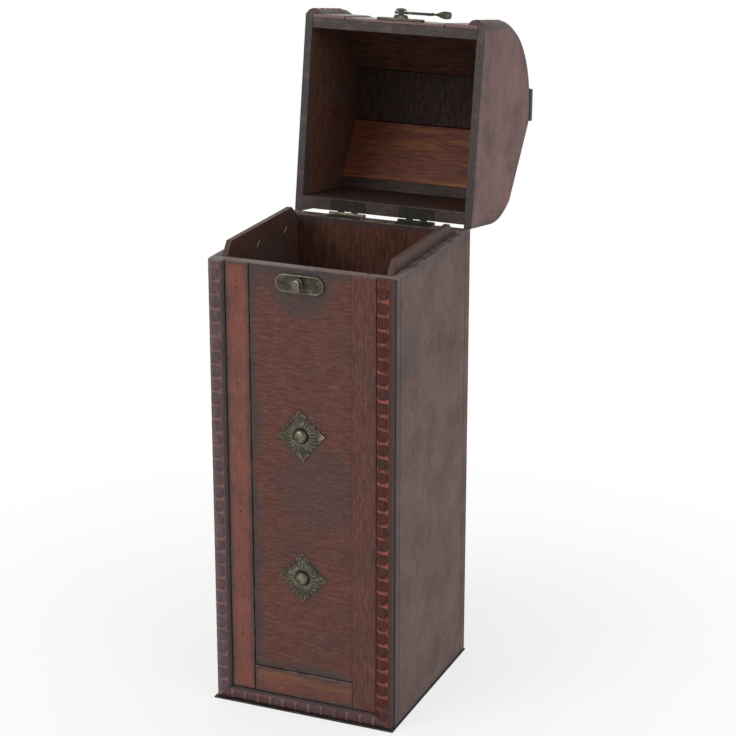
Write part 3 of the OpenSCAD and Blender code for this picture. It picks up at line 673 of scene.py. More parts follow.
def carved_strip(name, run, first, width, base):
    """A strip of moulding with square notches, drawn flat: X across, Y along, Z out."""
    look = sizes()
    pitch = look.cell_pitch
    half_high = (pitch - look.cell_ridge) / 2
    middles = [first + half_high + i * pitch for i in range(int((run - first) / pitch))]
    # The grid is close where the sides of the notches are steep
    near_edge = [step * MM for step in (0, 0.15, 0.3, 0.5, 0.8, 1.3, 2.1)]
    rows = [0.0]
    for middle in middles:
        rows += [middle - half_high + step for step in near_edge] + [middle]
        rows += [middle + half_high - step for step in reversed(near_edge)]
        rows.append(middle + pitch / 2)
    rows.append(run)
    left = (-4.6, -4.5, -4.35, -4.2, -4.0, -3.7, -3.2, -2.2, -0.85)
    right = (0.4, 1.1, 1.5, 1.8, 2.05, 2.25, 2.45, 2.6, 2.8, 3.1, 3.4, 3.8, 4.2, 4.6)
    columns = [x * MM for x in left + right]
    # Beyond this x lies the plain band that is darkened as painted shade
    shade_band_x, fade = 3.1 * MM, 0.4 * MM
    deselect()
    bpy.ops.mesh.primitive_grid_add(
        x_subdivisions=len(columns) - 1, y_subdivisions=len(rows) - 1, size=1
    )
    obj = bpy.context.object
    obj.name = name
    obj.data.name = name
    ridge_wear_and_shade = obj.data.attributes.new("ridge_wear_and_shade", "FLOAT", "POINT")
    for vert, share in zip(obj.data.vertices, ridge_wear_and_shade.data):
        x = columns[round((vert.co.x + 0.5) * (len(columns) - 1))]
        y = rows[round((vert.co.y + 0.5) * (len(rows) - 1))]
        middle = min(middles, key=lambda at: abs(y - at))
        deep, inner = notch(x - NOTCH_X, y - middle, half_high)
        # 1 on the ridges, fading out at the sides and ends, and -1 on the plain band at the high-x side,
        # which gets painted shade: the right-hand flank of the side and lid mouldings and the top flank of
        # the foot moulding
        window = part_of(min((x + BEAD_W / 2) / (0.2 * MM), (shade_band_x - x) / fade))
        ends = part_of(min(y, run - y) / (0.6 * MM))
        share.value = (1 - deep) * window * ends - part_of((x - shade_band_x) / fade)
        z = deep * look.cell_depth * (0.5 * inner - 1)
        vert.co = (x * width / BEAD_W, y, z + max(moulding_height(x), 0.12 * MM))
    pick(obj)
    bpy.ops.object.mode_set(mode="EDIT")
    bpy.ops.mesh.select_all(action="SELECT")
    bpy.ops.mesh.extrude_region_move()
    net = bmesh.from_edit_mesh(obj.data)
    for vert in net.verts:
        if vert.select:
            vert.co.z = base
    bmesh.update_edit_mesh(obj.data)
    bpy.ops.object.mode_set(mode="OBJECT")
    return obj


def cut_away(obj, point, normal):
    """Cut obj by a plane and close it, dropping the side that normal points to."""
    pick(obj)
    bpy.ops.object.mode_set(mode="EDIT")
    bpy.ops.mesh.select_all(action="SELECT")
    bpy.ops.mesh.bisect(plane_co=point, plane_no=normal, clear_outer=True, use_fill=True)
    bpy.ops.object.mode_set(mode="OBJECT")
    return obj


def mitred(strip, side, upward):
    """Mitre a strip at a lower corner, with a fine gap. Upward is 1 for a side and -1 for the foot."""
    slope = Vector((side * FOOT_BEAD_W, 0, BEAD_OUT_X - BEAD_IN_X)).normalized()
    corner = Vector((side * BEAD_OUT_X, 0, FOOT_Z))
    cut_away(strip, corner + upward * MITRE_GAP * slope, -upward * slope)


def lid_outline(run):
    """Point and outward direction on the shut lid's outline, as (y, z), run metres up from the front rim."""
    if run < LID_STRAIGHT:
        return (-HALF_D, run), (-1.0, 0.0)
    arc_end = FLAT_TURN + FLAT_HALF
    turn = math.pi - (run - LID_STRAIGHT) / HALF_D
    if turn > arc_end:
        out = (math.cos(turn), math.sin(turn))
        return (HALF_D * out[0], LID_STRAIGHT + HALF_D * out[1]), out
    half_run = HALF_D * math.sin(FLAT_HALF)
    left = half_run - (run - LID_STRAIGHT - HALF_D * (math.pi - arc_end))
    out = (math.cos(FLAT_TURN), math.sin(FLAT_TURN))
    return (
        FLAT_AT * out[0] - left * out[1],
        LID_STRAIGHT + FLAT_AT * out[1] + left * out[0],
    ), out


LID_RUN = (
    LID_STRAIGHT + HALF_D * (math.pi - FLAT_TURN - FLAT_HALF) + 2 * HALF_D * math.sin(FLAT_HALF)
)


def bend_over_lid(obj, middle_x):
    """Lay a flat strip over the shut lid, along its outline."""
    for vert in obj.data.vertices:
        x, y, z = vert.co
        point, out = lid_outline(y)
        vert.co = (middle_x + x, point[0] + out[0] * z, point[1] + out[1] * z)
    return obj


def end_outline():
    """Outline of the lid's end board as (y, z) on the shut lid, clockwise from its front corner."""
    flat_low = FLAT_TURN - FLAT_HALF
    back = HALF_D + LID_OVER
    middle = (back**2 - HALF_D**2) / (2 * (back - HALF_D * math.cos(flat_low)))
    swell = back - middle
    swell_end = math.atan2(HALF_D * math.sin(flat_low), HALF_D * math.cos(flat_low) - middle)
    made = [(-HALF_D, 0.0)]
    for i in range(41):
        turn = math.pi + (FLAT_TURN + FLAT_HALF - math.pi) * i / 40
        made.append((HALF_D * math.cos(turn), LID_STRAIGHT + HALF_D * math.sin(turn)))
    for i in range(25):
        turn = swell_end * (1 - i / 24)
        made.append((middle + swell * math.cos(turn), LID_STRAIGHT + swell * math.sin(turn)))
    made.append((back, 0.0))
    return made


def shrunk(outline, inset):
    """A convex outline moved inwards by inset, with its corners kept."""
    made = []
    count = len(outline)
    for i, point in enumerate(outline):
        before, after = Vector(outline[i - 1]), Vector(outline[(i + 1) % count])
        here = Vector(point)
        first, second = (here - before).normalized(), (after - here).normalized()
        first, second = Vector((first.y, -first.x)), Vector((second.y, -second.x))
        made.append(here + inset * (first + second) / (1 + first.dot(second)))
    return made


def end_board(name, side):
    """Arched end of the lid, with its edges rubbed round. Its brads stand a hair proud of it."""
    outer, inner = HALF_W - 0.03 * MM, HALF_W - 4.5 * MM
    soft, hard = sizes().edge_round, 0.1 * MM
    section = (
        (soft, outer), (0.3 * soft, outer - 0.3 * soft), (0, outer - soft), (0, inner + hard),
        (hard, inner),
    )
    outline = end_outline()
    return loft(name, [[(side * x, y, z) for y, z in shrunk(outline, inset)] for inset, x in section])


# ---------------------------------------------------------------- fittings


def ring(outline, inset, height, up=0):
    """Points of an outline function at an inset from it, at a height, moved up along Y."""
    return [(x, y + up, height) for x, y in outline(inset)]


def stadium(long, high, count=48):
    """Outline with round ends, as a function of its inset."""

    def points(inset):
        radius = high / 2 - inset
        reach = long / 2 - high / 2
        made = []
        for i in range(count):
            turn = math.tau * (i + 0.5) / count
            side = reach if math.sin(turn) > 0 else -reach
            made.append((side + radius * math.sin(turn), radius * math.cos(turn)))
        return made

    return points


def circle(radius, count=40):
    return stadium(2 * radius, 2 * radius, count)


def domed_nail(name, radius, height, shank, depth, dent=0.0):
    """A nail with a domed head on z = 0 and its shank below. A dent flattens one side of the dome."""
    stem, head = circle(shank), circle(radius)
    rings = [ring(stem, 0.3 * shank, -depth), ring(stem, 0, -depth + shank), ring(stem, 0, 0)]
    rings.append(ring(head, 0.02 * radius, 0))
    for i in range(8):
        turn = math.radians(4 + 11.6 * i)
        rise = 0.12 + 0.88 * math.sin(turn)
        rings.append(ring(head, radius * (1 - math.cos(turn)), height * rise))
    obj = loft(name, rings)
    for vert in obj.data.vertices:
        x, y, z = vert.co
        if z > 0.3 * height and dent:
            away = math.hypot(x + 0.3 * radius, y + 0.32 * radius) / (0.42 * radius)
            vert.co.z = z - dent * max(0, 1 - away * away)
    return rub_and_highlight(obj, lambda at: 0.7 * (at.z / height - 0.6) / 0.4)


def rosette_outline(size):
    """Four-pointed plate with a small scalloped edge, 4 percent taller than wide."""

    def points(inset):
        made = []
        for i in range(160):
            turn = math.tau * i / 160
            tip = size / 2 - inset
            reach = tip / (abs(math.cos(turn)) + abs(math.sin(turn)))
            reach *= 1 + 0.055 * (math.cos(20 * turn) - 1) * abs(math.sin(2 * turn)) ** 0.5
            made.append((reach * math.sin(turn), 1.04 * reach * math.cos(turn)))
        return made

    return points


def rosette_plate(name, size, curl):
    """Stamped plate with flutes that run out from a raised ring. Curl lifts its right tip."""
    rim = (
        (0.1, 0), (0, 0.15), (0, 0.55), (0.25, 0.8), (0.8, 0.85), (1.5, 0.55), (2.6, 0.5), (3.8, 0.7),
        (5.0, 0.9),
    )
    raised = ((7.2, 1.05), (6.4, 1.35), (5.7, 1.5), (5.0, 1.35), (4.3, 0.95), (3.4, 0.85))
    flutes, flute_in, flute_out, tip_x = 24, 4.6, 10, 10.5
    outline = rosette_outline(size)
    rings = [ring(outline, inset * MM, height * MM) for inset, height in rim]
    turns = [math.tau * i / 160 for i in range(160)]
    for radius, height in raised:
        rings.append(
            [(radius * MM * math.sin(a), radius * MM * math.cos(a), height * MM) for a in turns]
        )
    obj = loft(name, rings)
    for vert in obj.data.vertices:
        x, y, z = vert.co
        reach = math.hypot(x, y) / MM
        if z > 0.4 * MM and flute_in < reach < flute_out:
            fade = min(1, (reach - flute_in) / 0.8) * min(1, (flute_out - reach) / 2)
            z += 0.16 * MM * fade * math.cos(flutes * math.atan2(y, x))
        if curl and x > tip_x * MM:
            z += curl * ((x / MM - tip_x) / 3.9) ** 1.5
        vert.co.z = z

    def share_of(at):
        reach = math.hypot(at.x, at.y) / MM
        wave = 0.5 * math.cos(flutes * math.atan2(at.y, at.x))
        flute = wave * (9.5 - reach) / 3 if reach > flute_in else 0
        if at.z <= 0.3 * MM:
            return max(0, flute)
        tip = 0.9 if curl > 0.5 * MM and at.x > 11.6 * MM else 0
        edge = 0.25 if size / 2 - abs(at.x) - abs(at.y) < 0.8 * MM else 0
        return max(edge, flute, tip)

    return rub_and_highlight(obj, share_of)


def rimmed_plate(name):
    """Oval plate, 28 by 10 mm, with a rounded, raised rim."""
    rim = (
        (0.05, 0), (0, 0.2), (0, 1.15), (0.12, 1.4), (0.4, 1.5), (0.68, 1.4), (0.85, 1.15), (1.15, 1.0),
        (2.6, 0.95),
    )
    outline = stadium(28 * MM, 10 * MM, 64)
    plate = loft(name, [ring(outline, inset * MM, height * MM) for inset, height in rim])
    return rub_and_highlight(plate, lambda at: 0.35 * (at.z / MM - 1.1) / 0.3)


def lug(name):
    """Strike lug: an oblong foot, a round neck above its middle, and an oblong head."""

    def upright(outline):
        return lambda inset: [(y, x) for x, y in reversed(outline(inset))]

    oblong, neck = upright(stadium(7.2 * MM, 4.4 * MM)), upright(circle(1.5 * MM, 48))
    foot = ((0.5, 0.95), (0, 0.95), (0, 3.0), (0.25, 3.3))
    middle = ((-0.1, 3.35), (0, 3.6), (0, 5.7), (-0.1, 5.85))
    head = ((0.2, 5.9), (0, 6.1), (0.02, 6.4), (0.3, 6.75), (0.9, 6.9))
    rings = []
    for outline, profile, up in ((oblong, foot, 0), (neck, middle, 1.4 * MM), (oblong, head, 0)):
        rings += [ring(outline, inset * MM, height * MM, up) for inset, height in profile]
    obj = loft(name, rings)
    # Painted highlight on the upper right of the head's rim; the rest of the lug is a little rubbed
    return rub_and_highlight(obj, lambda at: 1 if 6.0 < at.z / MM < 6.85 and at.x + at.y > 0 else 0.3)


def boss(name):
    """Round post under the hook, wider at its foot."""
    profile = (
        (4.5, 1.0), (4.75, 1.05), (4.7, 1.4), (4.3, 1.8), (3.8, 2.5), (3.6, 3.1), (3.4, 3.35), (2.4, 3.4),
    )
    return loft(name, [ring(circle(radius * MM), 0, height * MM) for radius, height in profile])


def fan_tab(hook, at_pivot):
    """Give the hook a fan-shaped finger tab in place of its plain one. Its arm runs along X."""
    # Place along the arm, half thickness and half height, in millimetres
    fan = (
        (18.6, 1.0, 0.8), (19.6, 0.95, 1.1), (20.8, 0.9, 1.6), (22.2, 0.85, 2.0), (24.0, 0.8, 2.2),
        (26.0, 0.8, 2.2), (27.4, 0.75, 1.9), (28.2, 0.5, 1.2),
    )
    place(hook, at_pivot.inverted())
    cut_away(hook, Vector((17.7 * MM, 0, 0)), Vector((1, 0, 0)))
    bpy.ops.object.mode_set(mode="EDIT")
    bpy.ops.mesh.select_mode(type="FACE")
    bpy.ops.mesh.select_all(action="DESELECT")
    net = bmesh.from_edit_mesh(hook.data)
    end = max(net.faces, key=lambda face: (round(face.calc_center_median().x, 5), face.calc_area()))
    end.select_set(True)
    bmesh.update_edit_mesh(hook.data)
    bpy.ops.mesh.select_mode(type="VERT")
    for x, thick, tall in fan:
        bpy.ops.mesh.extrude_region_move()
        net = bmesh.from_edit_mesh(hook.data)
        for vert in net.verts:
            if vert.select:
                turn = math.atan2(vert.co.z, vert.co.y)
                vert.co = (x * MM, thick * MM * math.cos(turn), tall * MM * math.sin(turn))
        bmesh.update_edit_mesh(hook.data)
    bpy.ops.object.mode_set(mode="OBJECT")
    bpy.ops.object.shade_smooth_by_angle(angle=math.radians(40))
    place(hook, at_pivot)


def strap_line(up):
    """Half of the strap's line over the dome, from its middle to its end, up metres above its foot."""
    turn = 2 * math.atan(STRAP_RISE / STRAP_SPAN)
    crown = STRAP_SPAN / math.sin(turn) - STRAP_BEND
    bend = STRAP_BEND - up
    made = []
    for i in range(13):
        a = turn * i / 12
        made.append(
            ((crown + up) * math.sin(a), STRAP_RISE - crown + (crown + up) * math.cos(a))
        )
    for i in range(1, 9):
        a = turn * (1 - i / 8)
        made.append((STRAP_SPAN - bend * math.sin(a), STRAP_BEND - bend * math.cos(a)))
    for i in range(1, 6):
        made.append((STRAP_SPAN + (STRAP_END_X - STRAP_SPAN) * i / 5, up))
    return made


def strap_layer(name, low, high, width):
    """One layer of the handle, with soft edges, swept from end to end over the dome."""
    below, above = strap_line(low), strap_line(high)
    path = [((-a[0], a[1]), (-b[0], b[1])) for a, b in zip(below[:0:-1], above[:0:-1])]
    path += list(zip(below, above))
    section = []
    for i in range(24):
        turn = math.tau * i / 24
        side, lift = math.sin(turn), math.cos(turn)
        over = math.copysign(abs(lift) ** 0.45, lift)
        section.append((math.copysign(abs(side) ** 0.22, side), 0.5 + 0.5 * over))
    rings = []
    for i, (foot, top) in enumerate(path):
        half = width / 2 * (0.97 if i in (0, len(path) - 1) else 1)
        lean, rise = top[0] - foot[0], top[1] - foot[1]
        rings.append(
            [(foot[0] + lean * over, across * half, foot[1] + rise * over) for across, over in section]
        )
    return loft(name, rings)


# ---------------------------------------------------------------- the pieces


class Piece(bpy.types.Operator):
    """Make one group of the wine box's pieces"""

    bl_options = {"REGISTER"}


class WINEBOX_OT_boards(Piece):
    """Dress the boards of the body"""

    bl_idname = "winebox.boards"
    bl_label = "Body boards"

    def execute(self, context):
        look = colours()
        outside = {"Z": (FOOT_Z, BODY_H)}
        rim = {"Z": (0, BODY_H)}
        side = stained_wood(
            "side_board_stained_wood", look.side, look.side_light, "Z", smudge_share=0.45,
            border={"Y": (BOARD_Y, HALF_D), **outside}, border_w=5 * MM,
            # Wax left where a hand steadies the box as the lid is opened
            halos=[(Vector((HALF_W, -50 * MM, 214 * MM)), 20 * MM, 0.6)],
        )
        back = stained_wood(
            "back_board_stained_wood", look.side, look.side_light, "Z", smudge_share=0.3,
            fleck_share=0.15, border=outside, border_w=5 * MM,
            hollow=box(X=(-49, 49), Y=(-47, 48.2), Z=(0, 257.6)),
        )
        # The front board's rim top is mostly pale: partly rubbed wood, partly a painted reflection
        edge = stained_wood(
            "front_board_worn_sheen_wood", look.smudge_and_shade, look.side, "X", border=rim, border_w=6 * MM,
            worn_share=0.75, worn_from=0.3, hollow=box(X=(-49, 49), Y=(-47.2, 48), Z=(0, 257.6)),
        )
        inner = stained_wood(
            "inner_board_washed_wood", look.inside, look.inside_light, "Z", streak=look.slat_streak,
            streak_share=0.3, border=rim,
        )
        base = stained_wood("base_sheet_dark_wood", look.slat_dark_and_shade, look.smudge_and_shade, "X")
        liner = stained_wood(
            "liner_plywood", look.liner, look.side, "Z", streak=look.slat, worn_share=0.3,
            fleck_share=0.2,
        )
        for node, name, material in (
            ("left_side", "left_side_board", side),
            ("right_side", "right_side_board", side),
            ("back_board", "back_wall_board", back),
            ("front_board", "front_wall_board", edge),
            ("bottom_board", "floor_board", inner),
            ("base_sheet", "base_board", base),
            ("left_liner", "left_liner_ply", liner),
            ("right_liner", "right_liner_ply", liner),
        ):
            dressed(node, name, material)
        return {"FINISHED"}


class WINEBOX_OT_front(Piece):
    """Dress the stiles, rail and field of the front"""

    bl_idname = "winebox.front"
    bl_label = "Front skin"

    def execute(self, context):
        look = colours()
        halos = [(Vector((0, FIELD_Y, z)), 13 * MM, 0.7) for z in ROSETTES_Z]
        halos.append((Vector((0, FIELD_Y, STUD_Z)), 19 * MM, 0.75))
        # A darker patch of stain between the rosettes
        halos.append((Vector((9 * MM, FIELD_Y, 134 * MM)), 24 * MM, 0.42))
        field = stained_wood(
            "field_stained_wood", look.field, look.field_light, "X", smudge_share=0.6,
            border=box(X=(-29.6, 36), Z=(24.6, 258)), border_w=5 * MM, worn_share=0.3, halos=halos,
        )
        left = stained_wood(
            "left_stile_stained_wood", look.stile, look.stile_light, "Z", streak=look.stile_streak,
            streak_share=0.7, border=box(X=(-43.5, -30.1), Z=(9, 258)), border_w=2 * MM,
            worn_share=0.3,
        )
        right = stained_wood(
            "right_stile_stained_wood", look.field, look.field_light, "Z", smudge_share=0.7,
            border=box(X=(24, 43.9), Z=(9, 258)), border_w=1.2 * MM, border_share=0.3,
        )
        rail = stained_wood(
            "rail_stained_wood", look.rail, look.stile, "X", streak=look.rail_streak,
            streak_share=0.45, border=box(X=(-29.6, 29.6), Z=(9.1, 24.1)), border_w=2 * MM,
        )
        dressed("front_field", "front_field_board", field)
        dressed("left_stile", "left_stile_slat", left)
        stile = dressed("right_stile", "right_stile_slat", right)
        dressed("bottom_rail", "bottom_rail_slat", rail)
        # The right stile's joint with the field is drawn tight
        for vert in stile.data.vertices:
            if vert.co.x < 30.7 * MM:
                vert.co.x -= 0.42 * MM
        return {"FINISHED"}


class WINEBOX_OT_mouldings(Piece):
    """Carve the notched mouldings of the body"""

    bl_idname = "winebox.mouldings"
    bl_label = "Body mouldings"

    def execute(self, context):
        look = colours()
        left = stained_wood(
            "left_moulding_wood", look.bead_dark, look.bead_light, "Z", carved=look.bead_pink
        )
        right = stained_wood(
            "right_moulding_wood", look.bead, look.bead_red, "Z", smudge_share=0.3, fleck_share=0.15,
            carved=look.bead_ridge,
        )
        foot = stained_wood(
            "foot_moulding_wood", look.bead_dark, look.field, "X", carved=look.bead_pink
        )
        for side, node, wood in ((-1, "left_bead", left), (1, "right_bead", right)):
            strip = carved_strip(f"{node}_carved", BODY_H - FOOT_Z, 4 * MM, BEAD_W, BEAD_BASE)
            for vert in strip.data.vertices:
                x, y, z = vert.co
                vert.co = (side * BEAD_MID_X + x, -HALF_D - z, BODY_H - y)
            mitred(strip, side, 1)
            finish_piece(strip, wood, node, smooth=50)
        strip = carved_strip("bottom_bead_carved", 2 * BEAD_OUT_X, 3 * MM, FOOT_BEAD_W, BEAD_BASE)
        for vert in strip.data.vertices:
            x, y, z = vert.co
            vert.co = (y - BEAD_OUT_X, -HALF_D - z, FOOT_Z + FOOT_BEAD_W / 2 + x)
        for side in (-1, 1):
            mitred(strip, side, -1)
        finish_piece(strip, foot, "bottom_bead", smooth=50)
        return {"FINISHED"}


class WINEBOX_OT_lid_boards(Piece):
    """Dress the ends, walls and slats of the lid"""

    bl_idname = "winebox.lid_boards"
    bl_label = "Lid boards"

    def execute(self, context):
        look = colours()
        rim = box(Z=(0, 1000))
        end = stained_wood(
            "lid_end_stained_wood", look.lid_end, look.lid_end_light, "Y", on_lid=True,
            smudge_share=0.7, streak=look.lid_end_streak, streak_share=0.7, streak_outside=True,
            border="dome", border_w=3.2 * MM, border_share=1.0, worn_share=0.3, worn_from=0.5,
            hollow=box(X=(-49.7, 49.7)),
        )
        wall = stained_wood(
            "lid_wall_washed_wood", look.lid_wall, look.liner, "X", on_lid=True, border=rim,
            border_w=2 * MM, worn_share=0.3, worn_from=0.5, fleck_share=0.15,
        )
        # The back wall's near black is partly painted shade of the gap at the hinges
        back = stained_wood(
            "lid_back_wall_dark_shaded_wood", look.slat_dark_and_shade, look.inside, "X", on_lid=True, border=rim,
            border_w=3 * MM, border_share=0.4, worn_share=0.12, smudge_share=0.2, fleck_share=0.1,
        )
        front = stained_wood(
            "front_slat_washed_wood", look.lid_wall, look.inside_light, "X", on_lid=True,
            smudge_share=0.2, fleck_share=0.1,
        )
        # The middle slat's near black is partly painted shade deep inside the open lid
        middle = stained_wood(
            "middle_slat_dark_shaded_wood", look.slat_dark_and_shade, look.inside, "Y", on_lid=True, roughness=0.65,
            smudge_share=0.2, fleck_share=0.25, gloss=0.15,
        )
        rear = stained_wood(
            "rear_slat_stained_wood", look.slat, look.slat_light, "X", on_lid=True,
            streak=look.slat_streak, streak_share=0.75, smudge_share=0.3, fleck_share=0.1,
        )
        for side, word in ((-1, "left"), (1, "right")):
            board = place(end_board(f"lid_{word}_end_board", side), OPEN_LID)
            flat_faces(finish_piece(board, end, f"lid_{word}_end"))
        for node, material in (
            ("lid_front_wall", wall),
            ("lid_back_wall", back),
            ("lid_front_slat", front),
            ("lid_middle_slat", middle),
            ("lid_rear_slat", rear),
        ):
            dressed(node, f"{node}_board", material)
        return {"FINISHED"}


class WINEBOX_OT_lid_skin(Piece):
    """Dress the strips and field over the lid, and bend its carved mouldings"""

    bl_idname = "winebox.lid_skin"
    bl_label = "Lid skin"

    def execute(self, context):
        look = colours()
        skin = (look.lid_skin, look.lid_skin_light)
        polish = {"on_lid": True, "roughness": 0.36, "gloss": 0.7}
        strip_wood = stained_wood("lid_strip_wood", *skin, "YZ", **polish)
        field_wood = stained_wood("lid_field_wood", *skin, "X", **polish)
        bead_wood = stained_wood(
            "lid_moulding_wood", look.bead_dark, look.side, "YZ", on_lid=True, carved=look.bead_pink
        )
        dressed("lid_left_strip", "lid_left_strip_skin", strip_wood)
        dressed("lid_right_strip", "lid_right_strip_skin", strip_wood)
        dressed("lid_field", "lid_field_skin", field_wood)
        for side, word in ((-1, "left"), (1, "right")):
            strip = carved_strip(f"lid_{word}_bead_carved", LID_RUN, 4 * MM, BEAD_W, 0)
            place(bend_over_lid(strip, side * BEAD_MID_X), OPEN_LID)
            nodes = [f"lid_{word}_bead_{part}" for part in ("front", "dome", "rear")]
            finish_piece(strip, bead_wood, *nodes, smooth=50)
        return {"FINISHED"}


class WINEBOX_OT_rosettes(Piece):
    """Stamp the two rosettes and set their domed nails"""

    bl_idname = "winebox.rosettes"
    bl_label = "Rosettes"

    def execute(self, context):
        look = colours()
        brass = aged_metal("rosette_aged_brass", look.brass, look.brass_bright, 0.45)
        nail = aged_metal("nail_aged_brass", look.brass, look.brass_bright, 0.32)
        lower, upper = (Matrix.Translation((0, FIELD_Y, z)) @ FACE_FRONT for z in ROSETTES_Z)
        for node, seat, turn, curl in (
            ("upper_rosette", upper, math.radians(5), 0.9 * MM),
            ("lower_rosette", lower, 0, 0.2 * MM),
        ):
            plate = rosette_plate(f"{node}_plate", 28.8 * MM, curl)
            place(plate, seat @ Matrix.Rotation(turn, 4, "Z"))
            finish_piece(plate, brass, node)
        pair = []
        for seat in (lower, upper):
            head = domed_nail("rosette_nail_domed", 3.9 * MM, 2.5 * MM, 0.85 * MM, 6 * MM, 0.7 * MM)
            pair.append(place(head, seat @ Matrix.Translation((0, 0, 1 * MM))))
        pick(pair[0])
        pair[1].select_set(True)
        bpy.ops.object.join()
        pair[0].name = "rosette_nails_domed"
        finish_piece(pair[0], nail, "rosette_nails")
        return {"FINISHED"}


class WINEBOX_OT_strike(Piece):
    """Make the strike plate with its lug, and finish the body's small nails, brads and staples"""

    bl_idname = "winebox.strike"
    bl_label = "Strike plate"

    def execute(self, context):
        look = colours()
        brass = aged_metal("plate_aged_brass", look.brass, look.brass_bright, 0.42)
        # The lug's brass also carries a painted highlight on its head
        bright = aged_metal("lug_rubbed_highlit_brass", look.brass, look.brass_bright, 0.3)
        dark = aged_metal("small_nail_dark_steel", look.smudge_and_shade, look.brass, 0.5)
        staple = aged_metal("staple_steel", look.worn_and_sheen, look.brass_bright, 0.4)
        seat = Matrix.Translation((0, FIELD_Y, STUD_Z)) @ FACE_FRONT
        finish_piece(place(rimmed_plate("strike_plate_rimmed"), seat), brass, "strike_plate")
        finish_piece(place(lug("strike_stud_lug"), seat), bright, "strike_stud")
        for node in ("strike_nails", "stile_pins", "back_brads", "lid_end_brads"):
            carried(node, dark)
        carried("liner_staples", staple)
        return {"FINISHED"}


class WINEBOX_OT_latch(Piece):
    """Make the latch plate, boss, rivet and swing hook on the lid"""

    bl_idname = "winebox.latch"
    bl_label = "Latch"

    def execute(self, context):
        look = colours()
        brass = aged_metal("latch_aged_brass", look.brass, look.brass_bright, 0.4, on_lid=True)
        dark = aged_metal("latch_nail_dark_steel", look.smudge_and_shade, look.brass, 0.5, on_lid=True)
        pivot = OPEN_LID @ Matrix.Translation((PIVOT_X, FIELD_Y, PIVOT_Z)) @ FACE_FRONT
        rivet_seat = pivot @ Matrix.Translation((0, 0, 5.7 * MM))
        hook_seat = pivot @ Matrix.Translation((0, 0, HOOK_UP)) @ Matrix.Rotation(HOOK_TURN, 4, "Z")
        finish_piece(place(rimmed_plate("latch_plate_rimmed"), pivot), brass, "latch_plate")
        finish_piece(place(boss("latch_boss_turned"), pivot), brass, "latch_boss")
        rivet = domed_nail("latch_rivet_domed", 3.1 * MM, 1.5 * MM, 1.55 * MM, 9.7 * MM)
        finish_piece(place(rivet, rivet_seat), brass, "latch_rivet")
        hook = dressed("latch_hook", "latch_hook_swing", brass, sizes().metal_round, 0.8 * MM)
        fan_tab(hook, hook_seat)
        carried("latch_nails", dark)
        return {"FINISHED"}


class WINEBOX_OT_hinges(Piece):
    """Dress the two butt hinges"""

    bl_idname = "winebox.hinges"
    bl_label = "Hinges"

    def execute(self, context):
        look = colours()
        # The hinges' near black is partly painted shade of the gap under the open lid
        metal = aged_metal("hinge_aged_shaded_brass", look.hinge, look.brass_bright, 0.55, spotted=0.1)
        nail = aged_metal("hinge_nail_shaded_brass", look.hinge, look.brass_bright, 0.5, spotted=0.15)

        def rubbed_knuckle(at):
            """The left hinge is rubbed bright along its knuckles."""
            away = math.hypot(at.y - AXIS_Y, at.z - AXIS_Z)
            return 0.6 if at.x < 0 and away < 1.05 * MM else 0

        for word in ("left", "right"):
            for part in ("body_leaf", "lid_leaf"):
                node = f"{word}_hinge_{part}"
                rub_and_highlight(dressed(node, f"{node}_pressed", metal, 0.12 * MM, 1.2 * MM), rubbed_knuckle)
            carried(f"{word}_hinge_pin", nail)
        carried("hinge_body_nails", nail)
        carried("hinge_lid_nails", nail)
        return {"FINISHED"}


class WINEBOX_OT_handle(Piece):
    """Make the two layers of the strap handle and its tacks"""

    bl_idname = "winebox.handle"
    bl_label = "Strap handle"

    def execute(self, context):
        look = colours()
        leather = strap_leather("strap_dyed_leather", look.strap)
        tape = strap_leather("backing_woven_tape", [min(1, 1.7 * c) for c in look.strap])
        nail = aged_metal("tack_aged_brass", look.brass, look.brass_bright, 0.35, on_lid=True)
        lower = place(strap_layer("handle_backing_tape", 0, 1.6 * MM, 19.1 * MM), ON_DOME)
        finish_piece(lower, tape, "handle_backing", smooth=50)
        upper = strap_layer("handle_strap_leather", 1.6 * MM, 3.4 * MM, 19.5 * MM)
        finish_piece(place(upper, ON_DOME), leather, "handle_strap", smooth=50)
        carried("handle_tacks", nail)
        return {"FINISHED"}


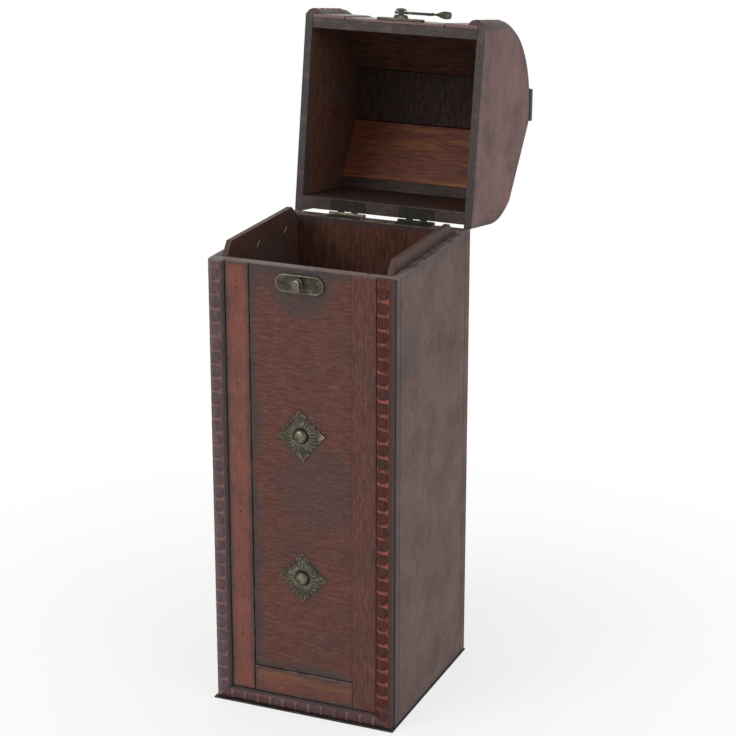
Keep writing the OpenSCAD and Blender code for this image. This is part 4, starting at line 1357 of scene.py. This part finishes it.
class WINEBOX_OT_stage(Piece):
    """Set the floor, the world, the lamps and the camera"""

    bl_idname = "winebox.stage"
    bl_label = "Stage"

    def execute(self, context):
        deselect()
        bpy.ops.mesh.primitive_plane_add(size=12, location=(0, 0, 0))
        floor = bpy.context.object
        floor.name = "studio_floor"
        floor.data.materials.append(painted_stage("studio_floor_board", colours().floor))
        world = bpy.data.worlds.new("studio")
        context.scene.world = world
        world.use_nodes = True
        tree = world.node_tree
        tree.nodes.clear()
        strength = spread(tree, looked_at(tree), 0, 1, 0.42, 1, soft=False)
        light = add_node(tree, "ShaderNodeBackground", {"Color": (1, 1, 1, 1), "Strength": strength})
        add_node(tree, "ShaderNodeOutputWorld", {"Surface": light.outputs[0]})
        for name, where, size, watts in (
            ("key_lamp", (-0.7, -1.1, 1.1), 0.8, 9),
            ("fill_lamp", (1.2, -0.5, 0.7), 0.9, 5),
            ("top_lamp", (0.0, 0.2, 1.5), 0.8, 5),
        ):
            bpy.ops.object.light_add(type="AREA", location=where)
            lamp = bpy.context.object
            lamp.name = name
            lamp.data.size = size
            lamp.data.energy = watts
            aim = Vector((0, 0, 0.18)) - lamp.location
            lamp.rotation_euler = aim.to_track_quat("-Z", "Y").to_euler()
        azimuth, elevation = (math.radians(a) for a in CAMERA_TURN)
        level = math.cos(elevation)
        back = Vector(
            (math.sin(azimuth) * level, -math.cos(azimuth) * level, math.sin(elevation))
        )
        right = (-back).cross(Vector((0, 0, 1))).normalized()
        up = back.cross(right)
        where = back * CAMERA_AWAY + right * CAMERA_SHIFT[0] + up * CAMERA_SHIFT[1]
        data = bpy.data.cameras.new("camera")
        data.lens = CAMERA_LENS
        data.sensor_width = 36
        camera = bpy.data.objects.new("camera", data)
        context.scene.collection.objects.link(camera)
        facing = Matrix((right, up, back)).transposed().to_4x4()
        camera.matrix_world = Matrix.Translation(where) @ facing
        context.scene.camera = camera
        context.scene.view_settings.view_transform = "Standard"
        return {"FINISHED"}


PIECES = (
    WINEBOX_OT_boards,
    WINEBOX_OT_front,
    WINEBOX_OT_mouldings,
    WINEBOX_OT_lid_boards,
    WINEBOX_OT_lid_skin,
    WINEBOX_OT_rosettes,
    WINEBOX_OT_strike,
    WINEBOX_OT_latch,
    WINEBOX_OT_hinges,
    WINEBOX_OT_handle,
    WINEBOX_OT_stage,
)


class WINEBOX_PT_panel(bpy.types.Panel):
    """Sizes, colours and pieces of the wine box"""

    bl_label = "Wine box"
    bl_idname = "WINEBOX_PT_panel"
    bl_space_type = "VIEW_3D"
    bl_region_type = "UI"
    bl_category = "Wine box"

    def draw(self, context):
        for group in (context.scene.wine_box_sizes, context.scene.wine_box_colours):
            for name in group.bl_rna.properties.keys():
                if name not in ("rna_type", "name"):
                    self.layout.prop(group, name)
        for piece in PIECES:
            self.layout.operator(piece.bl_idname)


CLASSES = (WineBoxSizes, WineBoxColours) + PIECES + (WINEBOX_PT_panel,)


def register():
    for item in CLASSES:
        bpy.utils.register_class(item)
    bpy.types.Scene.wine_box_sizes = PointerProperty(type=WineBoxSizes)
    bpy.types.Scene.wine_box_colours = PointerProperty(type=WineBoxColours)


def unregister():
    del bpy.types.Scene.wine_box_colours
    del bpy.types.Scene.wine_box_sizes
    for item in reversed(CLASSES):
        bpy.utils.unregister_class(item)


def main():
    register()
    for piece in PIECES:
        group, name = piece.bl_idname.split(".")
        getattr(getattr(bpy.ops, group), name)()


if __name__ == "__main__":
    main()
